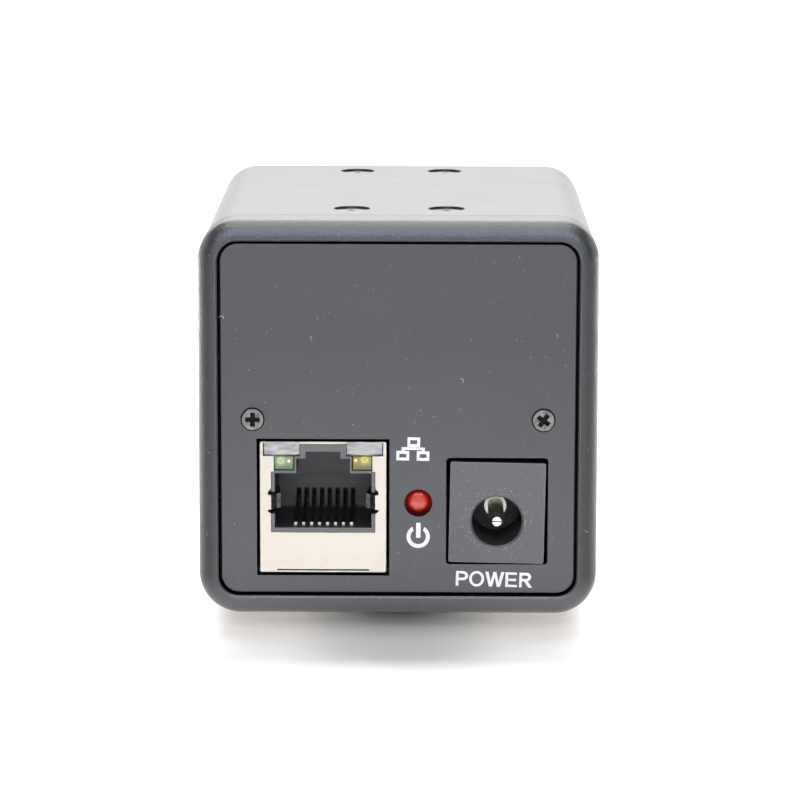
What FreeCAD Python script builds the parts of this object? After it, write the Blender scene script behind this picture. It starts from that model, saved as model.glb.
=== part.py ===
import FreeCAD, Part
import math
import os
import re
import Sketcher

# A box camera for a powered network line. X is to the right seen from the rear, the lens looks
# along +Y, Z is up, and the origin is the mouth of the tripod thread in the base. Millimetres.
SIZES = {
    # Housing
    "body_length": 61.4,
    "frame_width": 50.7,
    "frame_corner": 5.3,
    "frame_edge": 2.2,
    "frame_depth": 6.7,
    "rim_width": 2.55,
    "rim_chamfer": 0.2,
    "opening_corner": 2.6,
    "plate_gap": 0.34,
    "plate_recess": 0.7,
    "plate_thick": 2.0,
    "plate_edge": 0.15,
    "ledge_width": 1.35,
    "sleeve_step": 0.2,
    "sleeve_corner": 4.9,
    "sleeve_wall": 2.0,
    "cover_thick": 2.0,
    "cover_edge": 0.6,
    "spigot_length": 10.5,
    "slip_gap": 0.1,
    "corner_ease": 0.5,
    # Screws of the rear plate, in lugs on the frame
    "plate_screw_inset": 4.4,
    "plate_screw_rise": 2.9,
    "plate_screw_head": 1.45,
    "plate_screw_head_height": 0.9,
    "plate_screw_shank": 1.0,
    "plate_screw_length": 5.0,
    "plate_screw_proud": 0.3,
    "plate_screw_turn": 35.0,
    "lug_width": 4.4,
    "lug_length": 6.0,
    # Countersunk screws of the sleeve and the tripod block
    "sleeve_screw_x": 6.1,
    "sleeve_screw_rear": 14.3,
    "sleeve_screw_front": 6.5,
    "countersunk_head": 2.3,
    "countersunk_shank": 1.25,
    "countersunk_rim": 0.15,
    "sleeve_screw_length": 3.0,
    "sleeve_screw_recess": 0.3,
    "block_screw_length": 4.0,
    "head_gap": 0.07,
    "thread_gap": 0.03,
    "hole_gap": 0.1,
    "screw_end_gap": 0.2,
    "countersink_angle": 90.0,
    # Cross recesses
    "cross_width": 0.6,
    "cross_length": 1.8,
    "cross_depth": 0.55,
    "head_face": 0.93,
    # Tripod block under the housing
    "base_height": 2.35,
    "block_width": 24.0,
    "block_length": 28.0,
    "block_corner": 3.0,
    "block_edge": 0.4,
    "block_screw_inset": 4.0,
    "tripod_core": 2.55,
    "insert_radius": 4.5,
    "insert_neck": 3.9,
    "insert_height": 5.8,
    # Ethernet jack
    "jack_x": -9.5,
    "jack_floor": 5.5,
    "jack_width": 16.05,
    "jack_height": 16.95,
    "jack_depth": 21.5,
    "jack_gap": 0.4,
    "jack_recess": 0.15,
    "jack_sheet": 0.3,
    "jack_fit": 0.05,
    "jack_corner": 0.25,
    "window_half": 6.62,
    "window_floor": -3.3,
    "window_step": 4.6,
    "window_top": 6.62,
    "notch_half": 3.0,
    "plug_half": 6.15,
    "plug_floor": -2.68,
    "plug_top": 4.4,
    "plug_depth": 12.5,
    "latch_half": 3.4,
    "latch_step": 6.3,
    "latch_slot_half": 2.2,
    "latch_top": 7.2,
    "finger_floor": -0.35,
    "finger_top": 1.55,
    "finger_reach": 1.2,
    "finger_step": 0.67,
    "finger_set": 1.0,
    "finger_depth": 5.5,
    "finger_return": 0.85,
    "finger_fit": 0.1,
    "finger_slit": 0.4,
    "barb_height": 0.85,
    "barb_drop": 0.5,
    "fold_slit": 0.18,
    "fold_slit_half": 5.85,
    "fold_slit_rise": 0.2,
    "tab_reach": 7.5,
    "tab_slit": 0.12,
    "tab_lean": 0.4,
    "lamp_inner": 3.75,
    "lamp_width": 2.45,
    "lamp_floor": 4.85,
    "lamp_height": 1.7,
    "lamp_depth": 4.0,
    "lamp_edge": 0.2,
    "lamp_gap": 0.12,
    "contact_spacing": 1.016,
    "contact_width": 0.36,
    "contact_thick": 0.3,
    "contact_front": 1.8,
    "contact_rear": 10.6,
    "contact_high": -0.9,
    "comb_slot": 0.6,
    "comb_depth": 1.6,
    "wall_step": 1.0,
    "wall_edge": 1.9,
    # Power jack
    "power_x": 12.6,
    "power_rise": 6.7,
    "power_width": 12.1,
    "power_height": 13.0,
    "power_depth": 14.0,
    "power_gap": 0.42,
    "power_lift": 0.2,
    "power_corner": 0.25,
    "power_cut_corner": 0.45,
    "power_turn": 1.0,
    "bore_radius": 3.2,
    "bore_drop": 1.15,
    "bore_depth": 10.0,
    "bore_chamfer": 0.3,
    "power_pin": 1.0,
    "power_pin_tip": 0.6,
    "pin_taper": 1.2,
    "pin_slit": 0.14,
    "pin_slit_depth": 5.0,
    "power_pin_recess": 0.1,
    "pin_flange": 1.45,
    "pin_flange_thick": 0.4,
    "power_foot_width": 9.0,
    "power_foot_gap": 0.15,
    "spring_width": 2.0,
    "spring_thick": 0.3,
    "spring_bulge": 0.5,
    "spring_start": 2.5,
    # Indicator lamp
    "led_x": 2.6,
    "led_rise": 9.1,
    "led_radius": 1.62,
    "led_dome": 0.95,
    "led_length": 4.6,
    "led_recess": 0.9,
    "led_flange": 1.9,
    "led_flange_thick": 0.8,
    "led_hole_gap": 0.16,
    "led_fit": 0.05,
    "led_holder_half": 2.3,
    "lead_spacing": 2.54,
    "lead_width": 0.5,
    "lead_gap": 0.2,
    # Lower board
    "board_thick": 1.2,
    "board_side": 2.5,
    "board_gap": 0.3,
    "board_reach": 7.8,
    "board_screw_side": 4.0,
    "board_screw_rear": 2.6,
    "board_screw_front": 2.5,
    "board_screw_head": 1.9,
    "board_screw_head_height": 1.2,
    "board_screw_shank": 1.0,
    "board_screw_length": 3.0,
    "rail_width": 6.0,
    # Parts on the lower board
    "transformer_side": 0.8,
    "transformer_gap": 2.0,
    "transformer_width": 9.6,
    "transformer_length": 10.0,
    "transformer_height": 8.0,
    "transformer_leg": 2.2,
    "transformer_waist": 0.9,
    "capacitor_gap": 0.9,
    "capacitor_radius": 3.15,
    "capacitor_height": 7.7,
    "capacitor_edge": 0.5,
    "flex_x": -5.5,
    "flex_width": 10.0,
    "flex_thick": 0.2,
    "flex_bend": 1.2,
    "flex_fit": 0.1,
    "connector_width": 11.5,
    "connector_length": 2.6,
    "connector_height": 1.5,
    "connector_drop": 12.0,
    # Sensor board behind the lens
    "flange_focus": 12.5,
    "processor_rise": 4.0,
    "processor_half": 5.8,
    "processor_thick": 1.2,
    "post_gap": 1.4,
    "post_radius": 2.5,
    "post_screw_head": 1.6,
    "post_screw_head_height": 1.0,
    "post_screw_shank": 0.8,
    "post_screw_length": 5.0,
    "chip_width": 11.0,
    "chip_height": 9.0,
    "chip_thick": 0.9,
    "holder_wall": 3.5,
    "holder_depth": 5.0,
    "holder_step": 0.5,
    "filter_half": 6.5,
    "filter_thick": 0.6,
    "filter_seat": 1.0,
    "filter_fit": 0.05,
    # Lens mount ring
    "mount_bore": 12.7,
    "mount_wall": 2.3,
    "mount_band": 3.0,
    "mount_flange_thick": 1.5,
    "mount_lip": 1.5,
    "mount_chamfer": 0.3,
    "mount_screw_depth": 1.3,
    # Lens
    "barrel_radius": 15.0,
    "barrel_grip": 4.0,
    "ring_wall": 2.5,
    "barrel_length": 14.0,
    "barrel_wall": 2.5,
    "barrel_thread": 4.0,
    "groove_place": 9.0,
    "groove_width": 1.8,
    "groove_depth": 0.6,
    "ring_gap": 0.3,
    "ring_front": 20.0,
    "running_fit": 0.05,
    "ring_chamfer": 0.6,
    "helicoid_wall": 4.15,
    "flute_radius": 0.75,
    "flute_out": 0.25,
    "flute_reach": 8.5,
    "flute_length": 7.0,
    "cell_rear": 2.0,
    "cell_inset": 0.6,
    "cell_step": 0.9,
    "cell_wall": 4.0,
    "front_depth": 4.9,
    "front_wall": 2.25,
    "rear_seat": 2.0,
    "rear_wall": 3.4,
    "seat_fit": 0.05,
    "aperture_radius": 2.2,
    "aperture_thick": 0.4,
    "front_edge": 1.5,
    "front_curve": 25.0,
    "rear_edge": 1.2,
    "rear_curve": 27.0,
    "glass_ring_lip": 1.2,
    "glass_ring_length": 1.9,
    "lens_clear": 0.08,
    "lock_shank": 1.0,
    "lock_tip": 0.7,
    "lock_tip_gap": 0.2,
    "lock_head": 2.2,
    "lock_head_length": 3.0,
    "lock_head_gap": 0.25,
    "lock_flute": 0.3,
}
FLUTES = 30
LOCK_FLUTES = 12
CONTACTS = 8

# Places that several pieces share
AXIS_Z = "(base_height + frame_width / 2)"
REAR_Y = "(-body_length / 2)"
SEAM_Y = "(frame_depth - body_length / 2)"
COVER_Y = "(body_length / 2 - cover_thick)"
PLATE_Y = "(plate_recess - body_length / 2)"
PLATE_BACK = "(plate_recess + plate_thick)"
SLEEVE_LENGTH = "(body_length - frame_depth - cover_thick)"
SLEEVE_HALF = "(frame_width / 2 - sleeve_step)"
SLEEVE_BOTTOM = "(base_height + sleeve_step)"
SLEEVE_INNER = "(frame_width / 2 - sleeve_step - sleeve_wall)"
SPIGOT_HALF = "(frame_width / 2 - sleeve_step - sleeve_wall - slip_gap)"
SPIGOT_CORNER = "(sleeve_corner - sleeve_wall + corner_ease)"
OPENING_HALF = "(frame_width / 2 - rim_width)"
LEDGE_HALF = "(frame_width / 2 - rim_width - ledge_width)"
LEDGE_CORNER = "(opening_corner - ledge_width)"
BLOCK_SCREW_Y = "(block_length / 2 - block_screw_inset)"
BLOCK_SCREWS = (BLOCK_SCREW_Y, "-" + BLOCK_SCREW_Y)

# The boards, and the jacks that stand on the lower one
SENSOR_Y = "(body_length / 2 + mount_lip - flange_focus - chip_thick)"
BOARD_TOP = "(base_height + jack_floor)"
BOARD_BOTTOM = "(base_height + jack_floor - board_thick)"
BOARD_HALF = "(frame_width / 2 - rim_width - ledge_width - board_side)"
BOARD_REAR = "(plate_recess + plate_thick + board_gap - body_length / 2)"
BOARD_FRONT = "(body_length / 2 + mount_lip - flange_focus - chip_thick - board_reach)"
BOARD_SCREW_X = "(frame_width / 2 - rim_width - ledge_width - board_side - board_screw_side)"
RAIL_REAR = "(frame_depth + spigot_length + board_gap - body_length / 2)"
RAIL_TOP = "(jack_floor - board_thick - frame_width / 2)"
JACK_Y = "(plate_recess + jack_recess - body_length / 2)"
JACK_Z = "(jack_floor + jack_height / 2 - frame_width / 2)"
CORE_HALF = "(jack_width / 2 - jack_sheet - jack_fit)"
POWER_Z = "(jack_floor + power_rise + bore_drop - frame_width / 2)"
LED_Y = "(plate_recess + led_recess - body_length / 2)"
LED_Z = "(jack_floor + led_rise - frame_width / 2)"
LED_BACK = "(led_length + led_flange_thick)"
PLATE_SCREW_X = "(frame_width / 2 - rim_width - plate_screw_inset)"
PLATE_SCREW_Z = "(jack_floor + jack_height + plate_screw_rise - frame_width / 2)"
TRANSFORMER_X = "(%s - board_screw_head - transformer_side - transformer_width / 2)" % BOARD_SCREW_X
TRANSFORMER_Y = "(plate_recess + power_depth + transformer_gap + transformer_length / 2 - body_length / 2)"
CAPACITOR_Y = "(%s + transformer_length / 2 + capacitor_gap + capacitor_radius)" % TRANSFORMER_Y
CONNECTOR_Z = "(base_height + frame_width / 2 - connector_drop)"

# The lens and its mount, as radii and as places along the axis from the face of the mount
MOUNT_Y = "(body_length / 2 + mount_lip)"
MOUNT_NECK = "(mount_bore + mount_wall)"
MOUNT_FLANGE = "(mount_bore + mount_wall + mount_band)"
MOUNT_SCREW = "(mount_bore + mount_wall + mount_band / 2)"
POST = "((mount_bore + mount_wall + mount_band + post_radius + post_gap) / sqrt(2))"
POST_LENGTH = "(flange_focus + chip_thick - mount_lip - cover_thick)"
BARREL_NECK = "(barrel_radius - ring_wall)"
BARREL_BORE = "(barrel_radius - ring_wall - barrel_wall)"
HELICOID = "(barrel_radius - helicoid_wall)"
FRONT_RADIUS = "(barrel_radius - helicoid_wall - front_wall)"
REAR_RADIUS = "(barrel_radius - ring_wall - barrel_wall - rear_wall)"
CELL_FRONT = "(ring_front - cell_inset)"
FRONT_SEAT = "(ring_front - cell_inset - front_depth)"
FRONT_GLASS_Y = "(ring_front - cell_inset - front_depth + aperture_thick)"

# Each sketch plane, and the sign of its normal along the axis that it faces
FACING = {"XY_Plane": 1, "XZ_Plane": -1, "YZ_Plane": 1}
ALONG_X = "YZ_Plane"
ALONG_Y = "XZ_Plane"
ALONG_Z = "XY_Plane"
START, END, CENTRE = range(1, 4)
ORIGIN = (-1, 1)
WORDS = re.compile(r"[a-z][a-z_]*[a-z]")
TOLERANCE = 1e-4
SIDES = (1, -1)
Y_TURN = FreeCAD.Vector(0, 1, 0)
Z_TURN = FreeCAD.Vector(0, 0, 1)
X_TURN = FreeCAD.Vector(1, 0, 0)

doc = FreeCAD.newDocument("poe_ip_camera")
sheet = doc.addObject("Spreadsheet::Sheet", "Sizes")
for row, (alias, size) in enumerate(SIZES.items(), start=1):
    sheet.set("A%d" % row, alias)
    sheet.set("B%d" % row, str(size))
    sheet.setAlias("B%d" % row, alias)
doc.recompute()


def bound(text):
    """Spell a size expression with every alias looked up in the sheet."""
    def lookup(match):
        return "Sizes." + match.group(0) if match.group(0) in SIZES else match.group(0)
    return WORDS.sub(lookup, text)


def number(text):
    """Work out a size expression."""
    return float(sheet.evalExpression(bound(text)))


def constrain(sketch, kind, *values):
    """Add a dimension whose last value is a size expression, and bind it."""
    index = sketch.addConstraint(Sketcher.Constraint(kind, *values[:-1], number(values[-1])))
    sketch.setExpression("Constraints[%d]" % index, bound(values[-1]))


def pin_point(sketch, edge, end, place):
    """Hold one point of an edge at a place measured from the sketch's origin."""
    constrain(sketch, "DistanceX", *ORIGIN, edge, end, place[0])
    constrain(sketch, "DistanceY", *ORIGIN, edge, end, place[1])


def disc(x, y, radius):
    """Draw a circle."""
    def draw(sketch):
        centre = FreeCAD.Vector(number(x), number(y), 0)
        edge = sketch.addGeometry(Part.Circle(centre, Z_TURN, number(radius)), False)
        pin_point(sketch, edge, CENTRE, (x, y))
        constrain(sketch, "Radius", edge, radius)
    return draw


def bulge_point(first, last, radius):
    """Find the middle of an arc between two points, right of its chord, or left if the radius is negative."""
    chord = last - first
    half = chord.Length / 2
    height = radius - math.copysign(math.sqrt(radius * radius - half * half), radius)
    across = FreeCAD.Vector(chord.y, -chord.x, 0).normalize()
    return (first + last) * 0.5 + across * height


def outline(*places):
    """Draw a closed outline; a third value on a place makes the next stretch an arc, hollow if negative."""
    def draw(sketch):
        points = [FreeCAD.Vector(number(spot[0]), number(spot[1]), 0) for spot in places]
        edges = []
        for index, spot in enumerate(places):
            first, last = points[index], points[(index + 1) % len(points)]
            if len(spot) == 3:
                middle = bulge_point(first, last, number(spot[2]))
                edges.append(sketch.addGeometry(Part.Arc(first, middle, last), False))
            else:
                edges.append(sketch.addGeometry(Part.LineSegment(first, last), False))
        hollow = [len(spot) == 3 and spot[2].startswith("-") for spot in places]
        ends = [(END, START) if turned else (START, END) for turned in hollow]
        for index, spot in enumerate(places):
            following = (index + 1) % len(edges)
            sketch.addConstraint(Sketcher.Constraint(
                "Coincident", edges[index], ends[index][1], edges[following], ends[following][0]))
            pin_point(sketch, edges[index], ends[index][0], spot)
            if len(spot) == 3:
                constrain(sketch, "Radius", edges[index], spot[2].lstrip("-"))
    return draw


def rectangle(left, low, right, high):
    """Draw a rectangle from its lower left to its upper right corner."""
    return outline((left, low), (right, low), (right, high), (left, high))


def rounded(left, low, right, high, corner):
    """Draw a rectangle with tangent arcs at its corners."""
    inner_left, inner_right = "%s + %s" % (left, corner), "%s - %s" % (right, corner)
    inner_low, inner_high = "%s + %s" % (low, corner), "%s - %s" % (high, corner)
    return outline(
        (inner_left, low), (inner_right, low, corner), (right, inner_low), (right, inner_high, corner),
        (inner_right, high), (inner_left, high, corner), (left, inner_high), (left, inner_low, corner))


def mirrored(drawing, left, low, right, high):
    """The same rectangle on both sides of the sketch's vertical axis."""
    return drawing(left, low, right, high), drawing("-(%s)" % right, low, "-(%s)" % left, high)


def both_halves(right):
    """Draw an outline from the places of its right half, which run upwards, and their mirror images."""
    return outline(*right, *(("-" + x, z) for x, z in reversed(right)))


def both_sides(place_across):
    """A place to the right of the middle, and its mirror image."""
    return place_across, "-" + place_across


def square(half, corner):
    """Draw a rounded square about the sketch's origin."""
    return rounded("-%s" % half, "-%s" % half, half, half, corner)


def new_body(node):
    """Start one piece."""
    body = doc.addObject("PartDesign::Body", node)
    body.Label = node
    return body


def new_sketch(body, plane, start):
    """Start a sketch on one of the body's own planes, moved along the axis that it faces."""
    sketch = body.newObject("Sketcher::SketchObject", body.Name + "_sketch")
    support = next(item for item in body.Origin.OriginFeatures if item.Role == plane)
    sketch.AttachmentSupport = [(support, "")]
    sketch.MapMode = "FlatFace"
    sketch.setExpression(".AttachmentOffset.Base.z", bound("%d * (%s)" % (FACING[plane], start)))
    return sketch


def extrude(kind, body, plane, start, length, drawings):
    """Pad or pocket outlines from a start along the positive axis that their plane faces."""
    sketch = new_sketch(body, plane, start)
    for draw in drawings:
        draw(sketch)
    feature = body.newObject("PartDesign::" + kind, "%s_%s" % (body.Name, kind.lower()))
    feature.Profile = sketch
    feature.setExpression("Length", bound(length))
    feature.Reversed = (FACING[plane] < 0) != (kind == "Pocket")
    return feature


def pad(body, plane, start, length, *drawings):
    """Add material."""
    return extrude("Pad", body, plane, start, length, drawings)


def pocket(body, plane, start, length, *drawings):
    """Take material away, and make sure that some went."""
    doc.recompute()
    before = body.Shape.Volume
    feature = extrude("Pocket", body, plane, start, length, drawings)
    doc.recompute()
    if not body.Shape.Volume < before:
        raise ValueError("%s cuts nothing" % feature.Name)
    return feature


def turn(body, plane, drawing, axis="H_Axis"):
    """Turn an outline about an axis of its sketch."""
    sketch = new_sketch(body, plane, "0")
    drawing(sketch)
    feature = body.newObject("PartDesign::Revolution", body.Name + "_turn")
    feature.Profile = sketch
    feature.ReferenceAxis = (sketch, [axis])
    feature.Angle = 360
    return feature


def dress(kind, size_name, body, size, chosen):
    """Fillet or chamfer the edges that a test picks."""
    doc.recompute()
    base = body.Tip
    edges = ["Edge%d" % count for count, edge in enumerate(base.Shape.Edges, start=1) if chosen(edge)]
    feature = body.newObject("PartDesign::" + kind, "%s_%s" % (body.Name, kind.lower()))
    feature.Base = (base, edges)
    feature.setExpression(size_name, bound(size))
    return feature


def fillet(body, radius, chosen):
    """Round the edges that a test picks."""
    return dress("Fillet", "Radius", body, radius, chosen)


def chamfer(body, size, chosen):
    """Bevel the edges that a test picks."""
    return dress("Chamfer", "Size", body, size, chosen)


def lies_at(axis, place, reach=None):
    """Pick edges in one plane across an axis, or only those that span less than a reach."""
    def chosen(edge):
        box = edge.BoundBox
        low, high = getattr(box, axis + "Min"), getattr(box, axis + "Max")
        level = number(place)
        flat = abs(low - level) < TOLERANCE and abs(high - level) < TOLERANCE
        return flat and (reach is None or max(abs(value) for value in (
            box.XMin, box.XMax, box.YMin, box.YMax, box.ZMin, box.ZMax)) < number(reach) + TOLERANCE)
    return chosen


def ring_pattern(body, feature, count, role):
    """Repeat a cut around one of the body's axes."""
    axis = next(item for item in body.Origin.OriginFeatures if item.Role == role)
    pattern = body.newObject("PartDesign::PolarPattern", body.Name + "_pattern")
    pattern.Originals = [feature]
    pattern.Axis = (axis, [""])
    pattern.Angle = 360
    pattern.Occurrences = count
    body.Tip = pattern


def place(piece, x, y, z):
    """Set a piece's place in the camera."""
    for axis, text in zip("xyz", (x, y, z)):
        piece.setExpression(".Placement.Base." + axis, bound(text))
    return piece


def group(node, piece, places):
    """Repeat a piece at several places, each with an axis and angle of turn, as one node."""
    copies = []
    for index, (x, y, z, axis, angle) in enumerate(places):
        copy = doc.addObject("App::Link", "%s_%d" % (piece.Name, index + 1))
        copy.LinkedObject = piece
        copy.Placement = FreeCAD.Placement(FreeCAD.Vector(), FreeCAD.Rotation(axis, number(angle)))
        copies.append(place(copy, x, y, z))
    compound = doc.addObject("Part::Compound", node)
    compound.Label = node
    compound.Links = copies
    return compound


def cross_cut(body, plane, start, depth):
    """Cut a cross recess into a screw head."""
    half_width, half_length = "(cross_width / 2)", "(cross_length / 2)"
    for across, along in ((half_width, half_length), (half_length, half_width)):
        pocket(body, plane, start, depth, rectangle("-" + across, "-" + along, across, along))


def pan_screw(name, head, height, shank, length):
    """A cross-head screw along +Y with the seat of its head at y = 0."""
    body = new_body(name)
    turn(body, ALONG_X, outline(
        ("-" + height, "0"), (length, "0"), (length, shank), ("0", shank), ("0", head),
        ("-%s / 2" % height, head), ("-" + height, head + " * head_face")))
    cross_cut(body, ALONG_Y, "-" + height, "cross_depth")
    return body


def countersunk_screw(name, length):
    """A countersunk cross-head screw along -Z with the face of its head at z = 0."""
    body = new_body(name)
    cone_end = "(countersunk_rim + countersunk_head - countersunk_shank)"
    turn(body, ALONG_Y, outline(
        ("0", "-" + length), ("countersunk_shank", "-" + length), ("countersunk_shank", "-" + cone_end),
        ("countersunk_head", "-countersunk_rim"), ("countersunk_head", "0"), ("0", "0")), axis="V_Axis")
    cross_cut(body, ALONG_Z, "-cross_depth", "cross_depth")
    return body


def rear_frame():
    body = new_body("rear_frame")
    pad(body, ALONG_Y, "0", "frame_depth", square("(frame_width / 2)", "frame_corner"))
    fillet(body, "frame_edge", lies_at("Y", "0"))
    pad(body, ALONG_Y, "frame_depth", "spigot_length", square(SPIGOT_HALF, SPIGOT_CORNER))
    pocket(body, ALONG_Y, "0", PLATE_BACK, square(OPENING_HALF, "opening_corner"))
    chamfer(body, "rim_chamfer", lies_at("Y", "0", OPENING_HALF))
    pocket(body, ALONG_Y, "0", "frame_depth + spigot_length", square(LEDGE_HALF, LEDGE_CORNER))
    lug_inner = "%s - lug_width / 2" % PLATE_SCREW_X
    lug_outer = "(%s + %s) / 2" % (LEDGE_HALF, SPIGOT_HALF)
    low, high = "%s - lug_width / 2" % PLATE_SCREW_Z, "%s + lug_width / 2" % PLATE_SCREW_Z
    pad(body, ALONG_Y, PLATE_BACK, "lug_length", *mirrored(rectangle, lug_inner, low, lug_outer, high))
    pocket(body, ALONG_Y, PLATE_BACK, "lug_length",
           *(disc(x, PLATE_SCREW_Z, "plate_screw_shank + thread_gap") for x in both_sides(PLATE_SCREW_X)))
    tapped = "countersunk_shank + thread_gap"
    pocket(body, ALONG_Z, "-frame_width / 2", "frame_width",
           *(disc(x, "sleeve_screw_rear", tapped) for x in both_sides("sleeve_screw_x")))
    return place(body, "0", REAR_Y, AXIS_Z)


def rear_plate():
    body = new_body("rear_plate")
    pad(body, ALONG_Y, "0", "plate_thick",
        square("(%s - plate_gap)" % OPENING_HALF, "(opening_corner - plate_gap)"))
    fillet(body, "plate_edge", lies_at("Y", "0"))
    wide, tall = "(jack_width / 2 + jack_gap)", "(jack_height / 2 + jack_gap)"
    pocket(body, ALONG_Y, "0", "plate_thick",
           rectangle("jack_x - " + wide, "%s - %s" % (JACK_Z, tall), "jack_x + " + wide,
                     "%s + %s" % (JACK_Z, tall)))
    wide, tall = "(power_width / 2 + power_gap)", "(power_height / 2 + power_gap)"
    pocket(body, ALONG_Y, "0", "plate_thick",
           rounded("power_x - " + wide, "%s + power_lift - %s" % (POWER_Z, tall), "power_x + " + wide,
                   "%s + power_lift + %s" % (POWER_Z, tall), "power_cut_corner"))
    pocket(body, ALONG_Y, "0", "plate_thick", disc("led_x", LED_Z, "led_radius + led_hole_gap"))
    pocket(body, ALONG_Y, "0", "plate_screw_head_height - plate_screw_proud",
           *(disc(x, PLATE_SCREW_Z, "plate_screw_head + head_gap") for x in both_sides(PLATE_SCREW_X)))
    pocket(body, ALONG_Y, "0", "plate_thick",
           *(disc(x, PLATE_SCREW_Z, "plate_screw_shank + hole_gap") for x in both_sides(PLATE_SCREW_X)))
    return place(body, "0", PLATE_Y, AXIS_Z)


def rear_plate_screws():
    screw = pan_screw("rear_plate_screw", "plate_screw_head", "plate_screw_head_height",
                      "plate_screw_shank", "plate_screw_length")
    seat = PLATE_Y + " + plate_screw_head_height - plate_screw_proud"
    height = "%s + %s" % (AXIS_Z, PLATE_SCREW_Z)
    return group("rear_plate_screws", screw, (("-" + PLATE_SCREW_X, seat, height, Y_TURN, "0"),
                                              (PLATE_SCREW_X, seat, height, Y_TURN, "plate_screw_turn")))


def countersink(body, face, faces_up, places, recess, depth):
    """Sink holes for countersunk screws into an outer face that looks up or down."""
    mouth = "(%s + countersunk_rim)" % recess
    seat = "%s %s %s" % (face, "-" if faces_up else "+", mouth)
    pocket(body, ALONG_Z, seat if faces_up else face, mouth,
           *(disc(x, y, "countersunk_head + head_gap") for x, y in places))
    sketch = new_sketch(body, ALONG_Z, seat)
    for x, y in places:
        disc(x, y, "countersunk_head")(sketch)
    doc.recompute()
    hole = body.newObject("PartDesign::Hole", body.Name + "_hole")
    hole.Profile = sketch
    hole.DepthType = "Dimension"
    hole.DrillPoint = "Flat"
    hole.HoleCutType = "Countersink"
    hole.Reversed = not faces_up
    hole.setExpression("Diameter", bound("2 * (countersunk_shank + hole_gap)"))
    hole.setExpression("HoleCutDiameter", bound("2 * (countersunk_head + head_gap)"))
    hole.setExpression("HoleCutCountersinkAngle", bound("countersink_angle"))
    hole.setExpression("Depth", bound(depth))
    doc.recompute()


def sleeve_screw_places():
    """The four screws on one side of the sleeve, as places in the camera."""
    rows = ("(sleeve_screw_rear - body_length / 2)", "(body_length / 2 - sleeve_screw_front)")
    return [(x, row) for row in rows for x in both_sides("sleeve_screw_x")]


def housing_sleeve():
    body = new_body("housing_sleeve")
    pad(body, ALONG_Y, "0", SLEEVE_LENGTH, square(SLEEVE_HALF, "sleeve_corner"),
        square(SLEEVE_INNER, "(sleeve_corner - sleeve_wall)"))
    inner, outer = "%s - rail_width / 2" % BOARD_SCREW_X, "%s + rail_width / 2" % BOARD_SCREW_X
    root = "-(%s + %s) / 2" % (SLEEVE_HALF, SLEEVE_INNER)
    pad(body, ALONG_Y, "spigot_length + board_gap", "%s - %s" % (BOARD_FRONT, RAIL_REAR),
        *mirrored(rectangle, inner, root, outer, RAIL_TOP))
    depth = "(board_screw_length - board_thick + screw_end_gap)"
    tapped = "board_screw_shank + thread_gap"
    pocket(body, ALONG_Z, "%s - %s" % (RAIL_TOP, depth), depth,
           *(disc(x, "%s - %s" % (y, SEAM_Y), tapped) for x, y in board_screw_places()))
    floor = "-" + SLEEVE_HALF
    pocket(body, ALONG_Z, floor, "sleeve_wall", disc("0", "-" + SEAM_Y, "insert_neck + hole_gap"))
    pocket(body, ALONG_Z, floor, "sleeve_wall",
           *(disc("0", "%s - %s" % (y, SEAM_Y), "countersunk_shank + thread_gap") for y in BLOCK_SCREWS))
    holes = [(x, "%s - %s" % (y, SEAM_Y)) for x, y in sleeve_screw_places()]
    countersink(body, SLEEVE_HALF, True, holes, "sleeve_screw_recess", "sleeve_wall")
    countersink(body, floor, False, holes, "sleeve_screw_recess", "sleeve_wall")
    return place(body, "0", SEAM_Y, AXIS_Z)


def sleeve_screws():
    screw = countersunk_screw("sleeve_screw", "sleeve_screw_length")
    reach = "(%s - sleeve_screw_recess)" % SLEEVE_HALF
    above = [(x, y, "%s + %s" % (AXIS_Z, reach), Y_TURN, "0") for x, y in sleeve_screw_places()]
    below = [(x, y, "%s - %s" % (AXIS_Z, reach), Y_TURN, "180") for x, y in sleeve_screw_places()]
    return group("sleeve_screws", screw, above + below)


def front_cover():
    body = new_body("front_cover")
    pad(body, ALONG_Y, "0", "cover_thick", square(SLEEVE_HALF, "sleeve_corner"))
    fillet(body, "cover_edge", lies_at("Y", "cover_thick"))
    pad(body, ALONG_Y, "-spigot_length", "spigot_length", square(SPIGOT_HALF, SPIGOT_CORNER),
        square(LEDGE_HALF, LEDGE_CORNER))
    pad(body, ALONG_Y, "-" + POST_LENGTH, POST_LENGTH, *(disc(x, z, "post_radius") for x, z in post_places()))
    pocket(body, ALONG_Y, "-" + POST_LENGTH, "post_screw_length + screw_end_gap - board_thick",
           *(disc(x, z, "post_screw_shank + thread_gap") for x, z in post_places()))
    pocket(body, ALONG_Y, "0", "cover_thick", disc("0", "0", MOUNT_NECK + " + hole_gap"))
    pocket(body, ALONG_Y, "0", "mount_screw_depth + screw_end_gap",
           *(disc(x, z, "post_screw_shank + thread_gap") for x, z in mount_screw_places()))
    far_row = "(cover_thick - sleeve_screw_front)"
    pocket(body, ALONG_Z, "-" + SLEEVE_HALF, "2 * " + SLEEVE_HALF,
           *(disc(x, far_row, "countersunk_shank + thread_gap") for x in both_sides("sleeve_screw_x")))
    return place(body, "0", COVER_Y, AXIS_Z)


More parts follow.
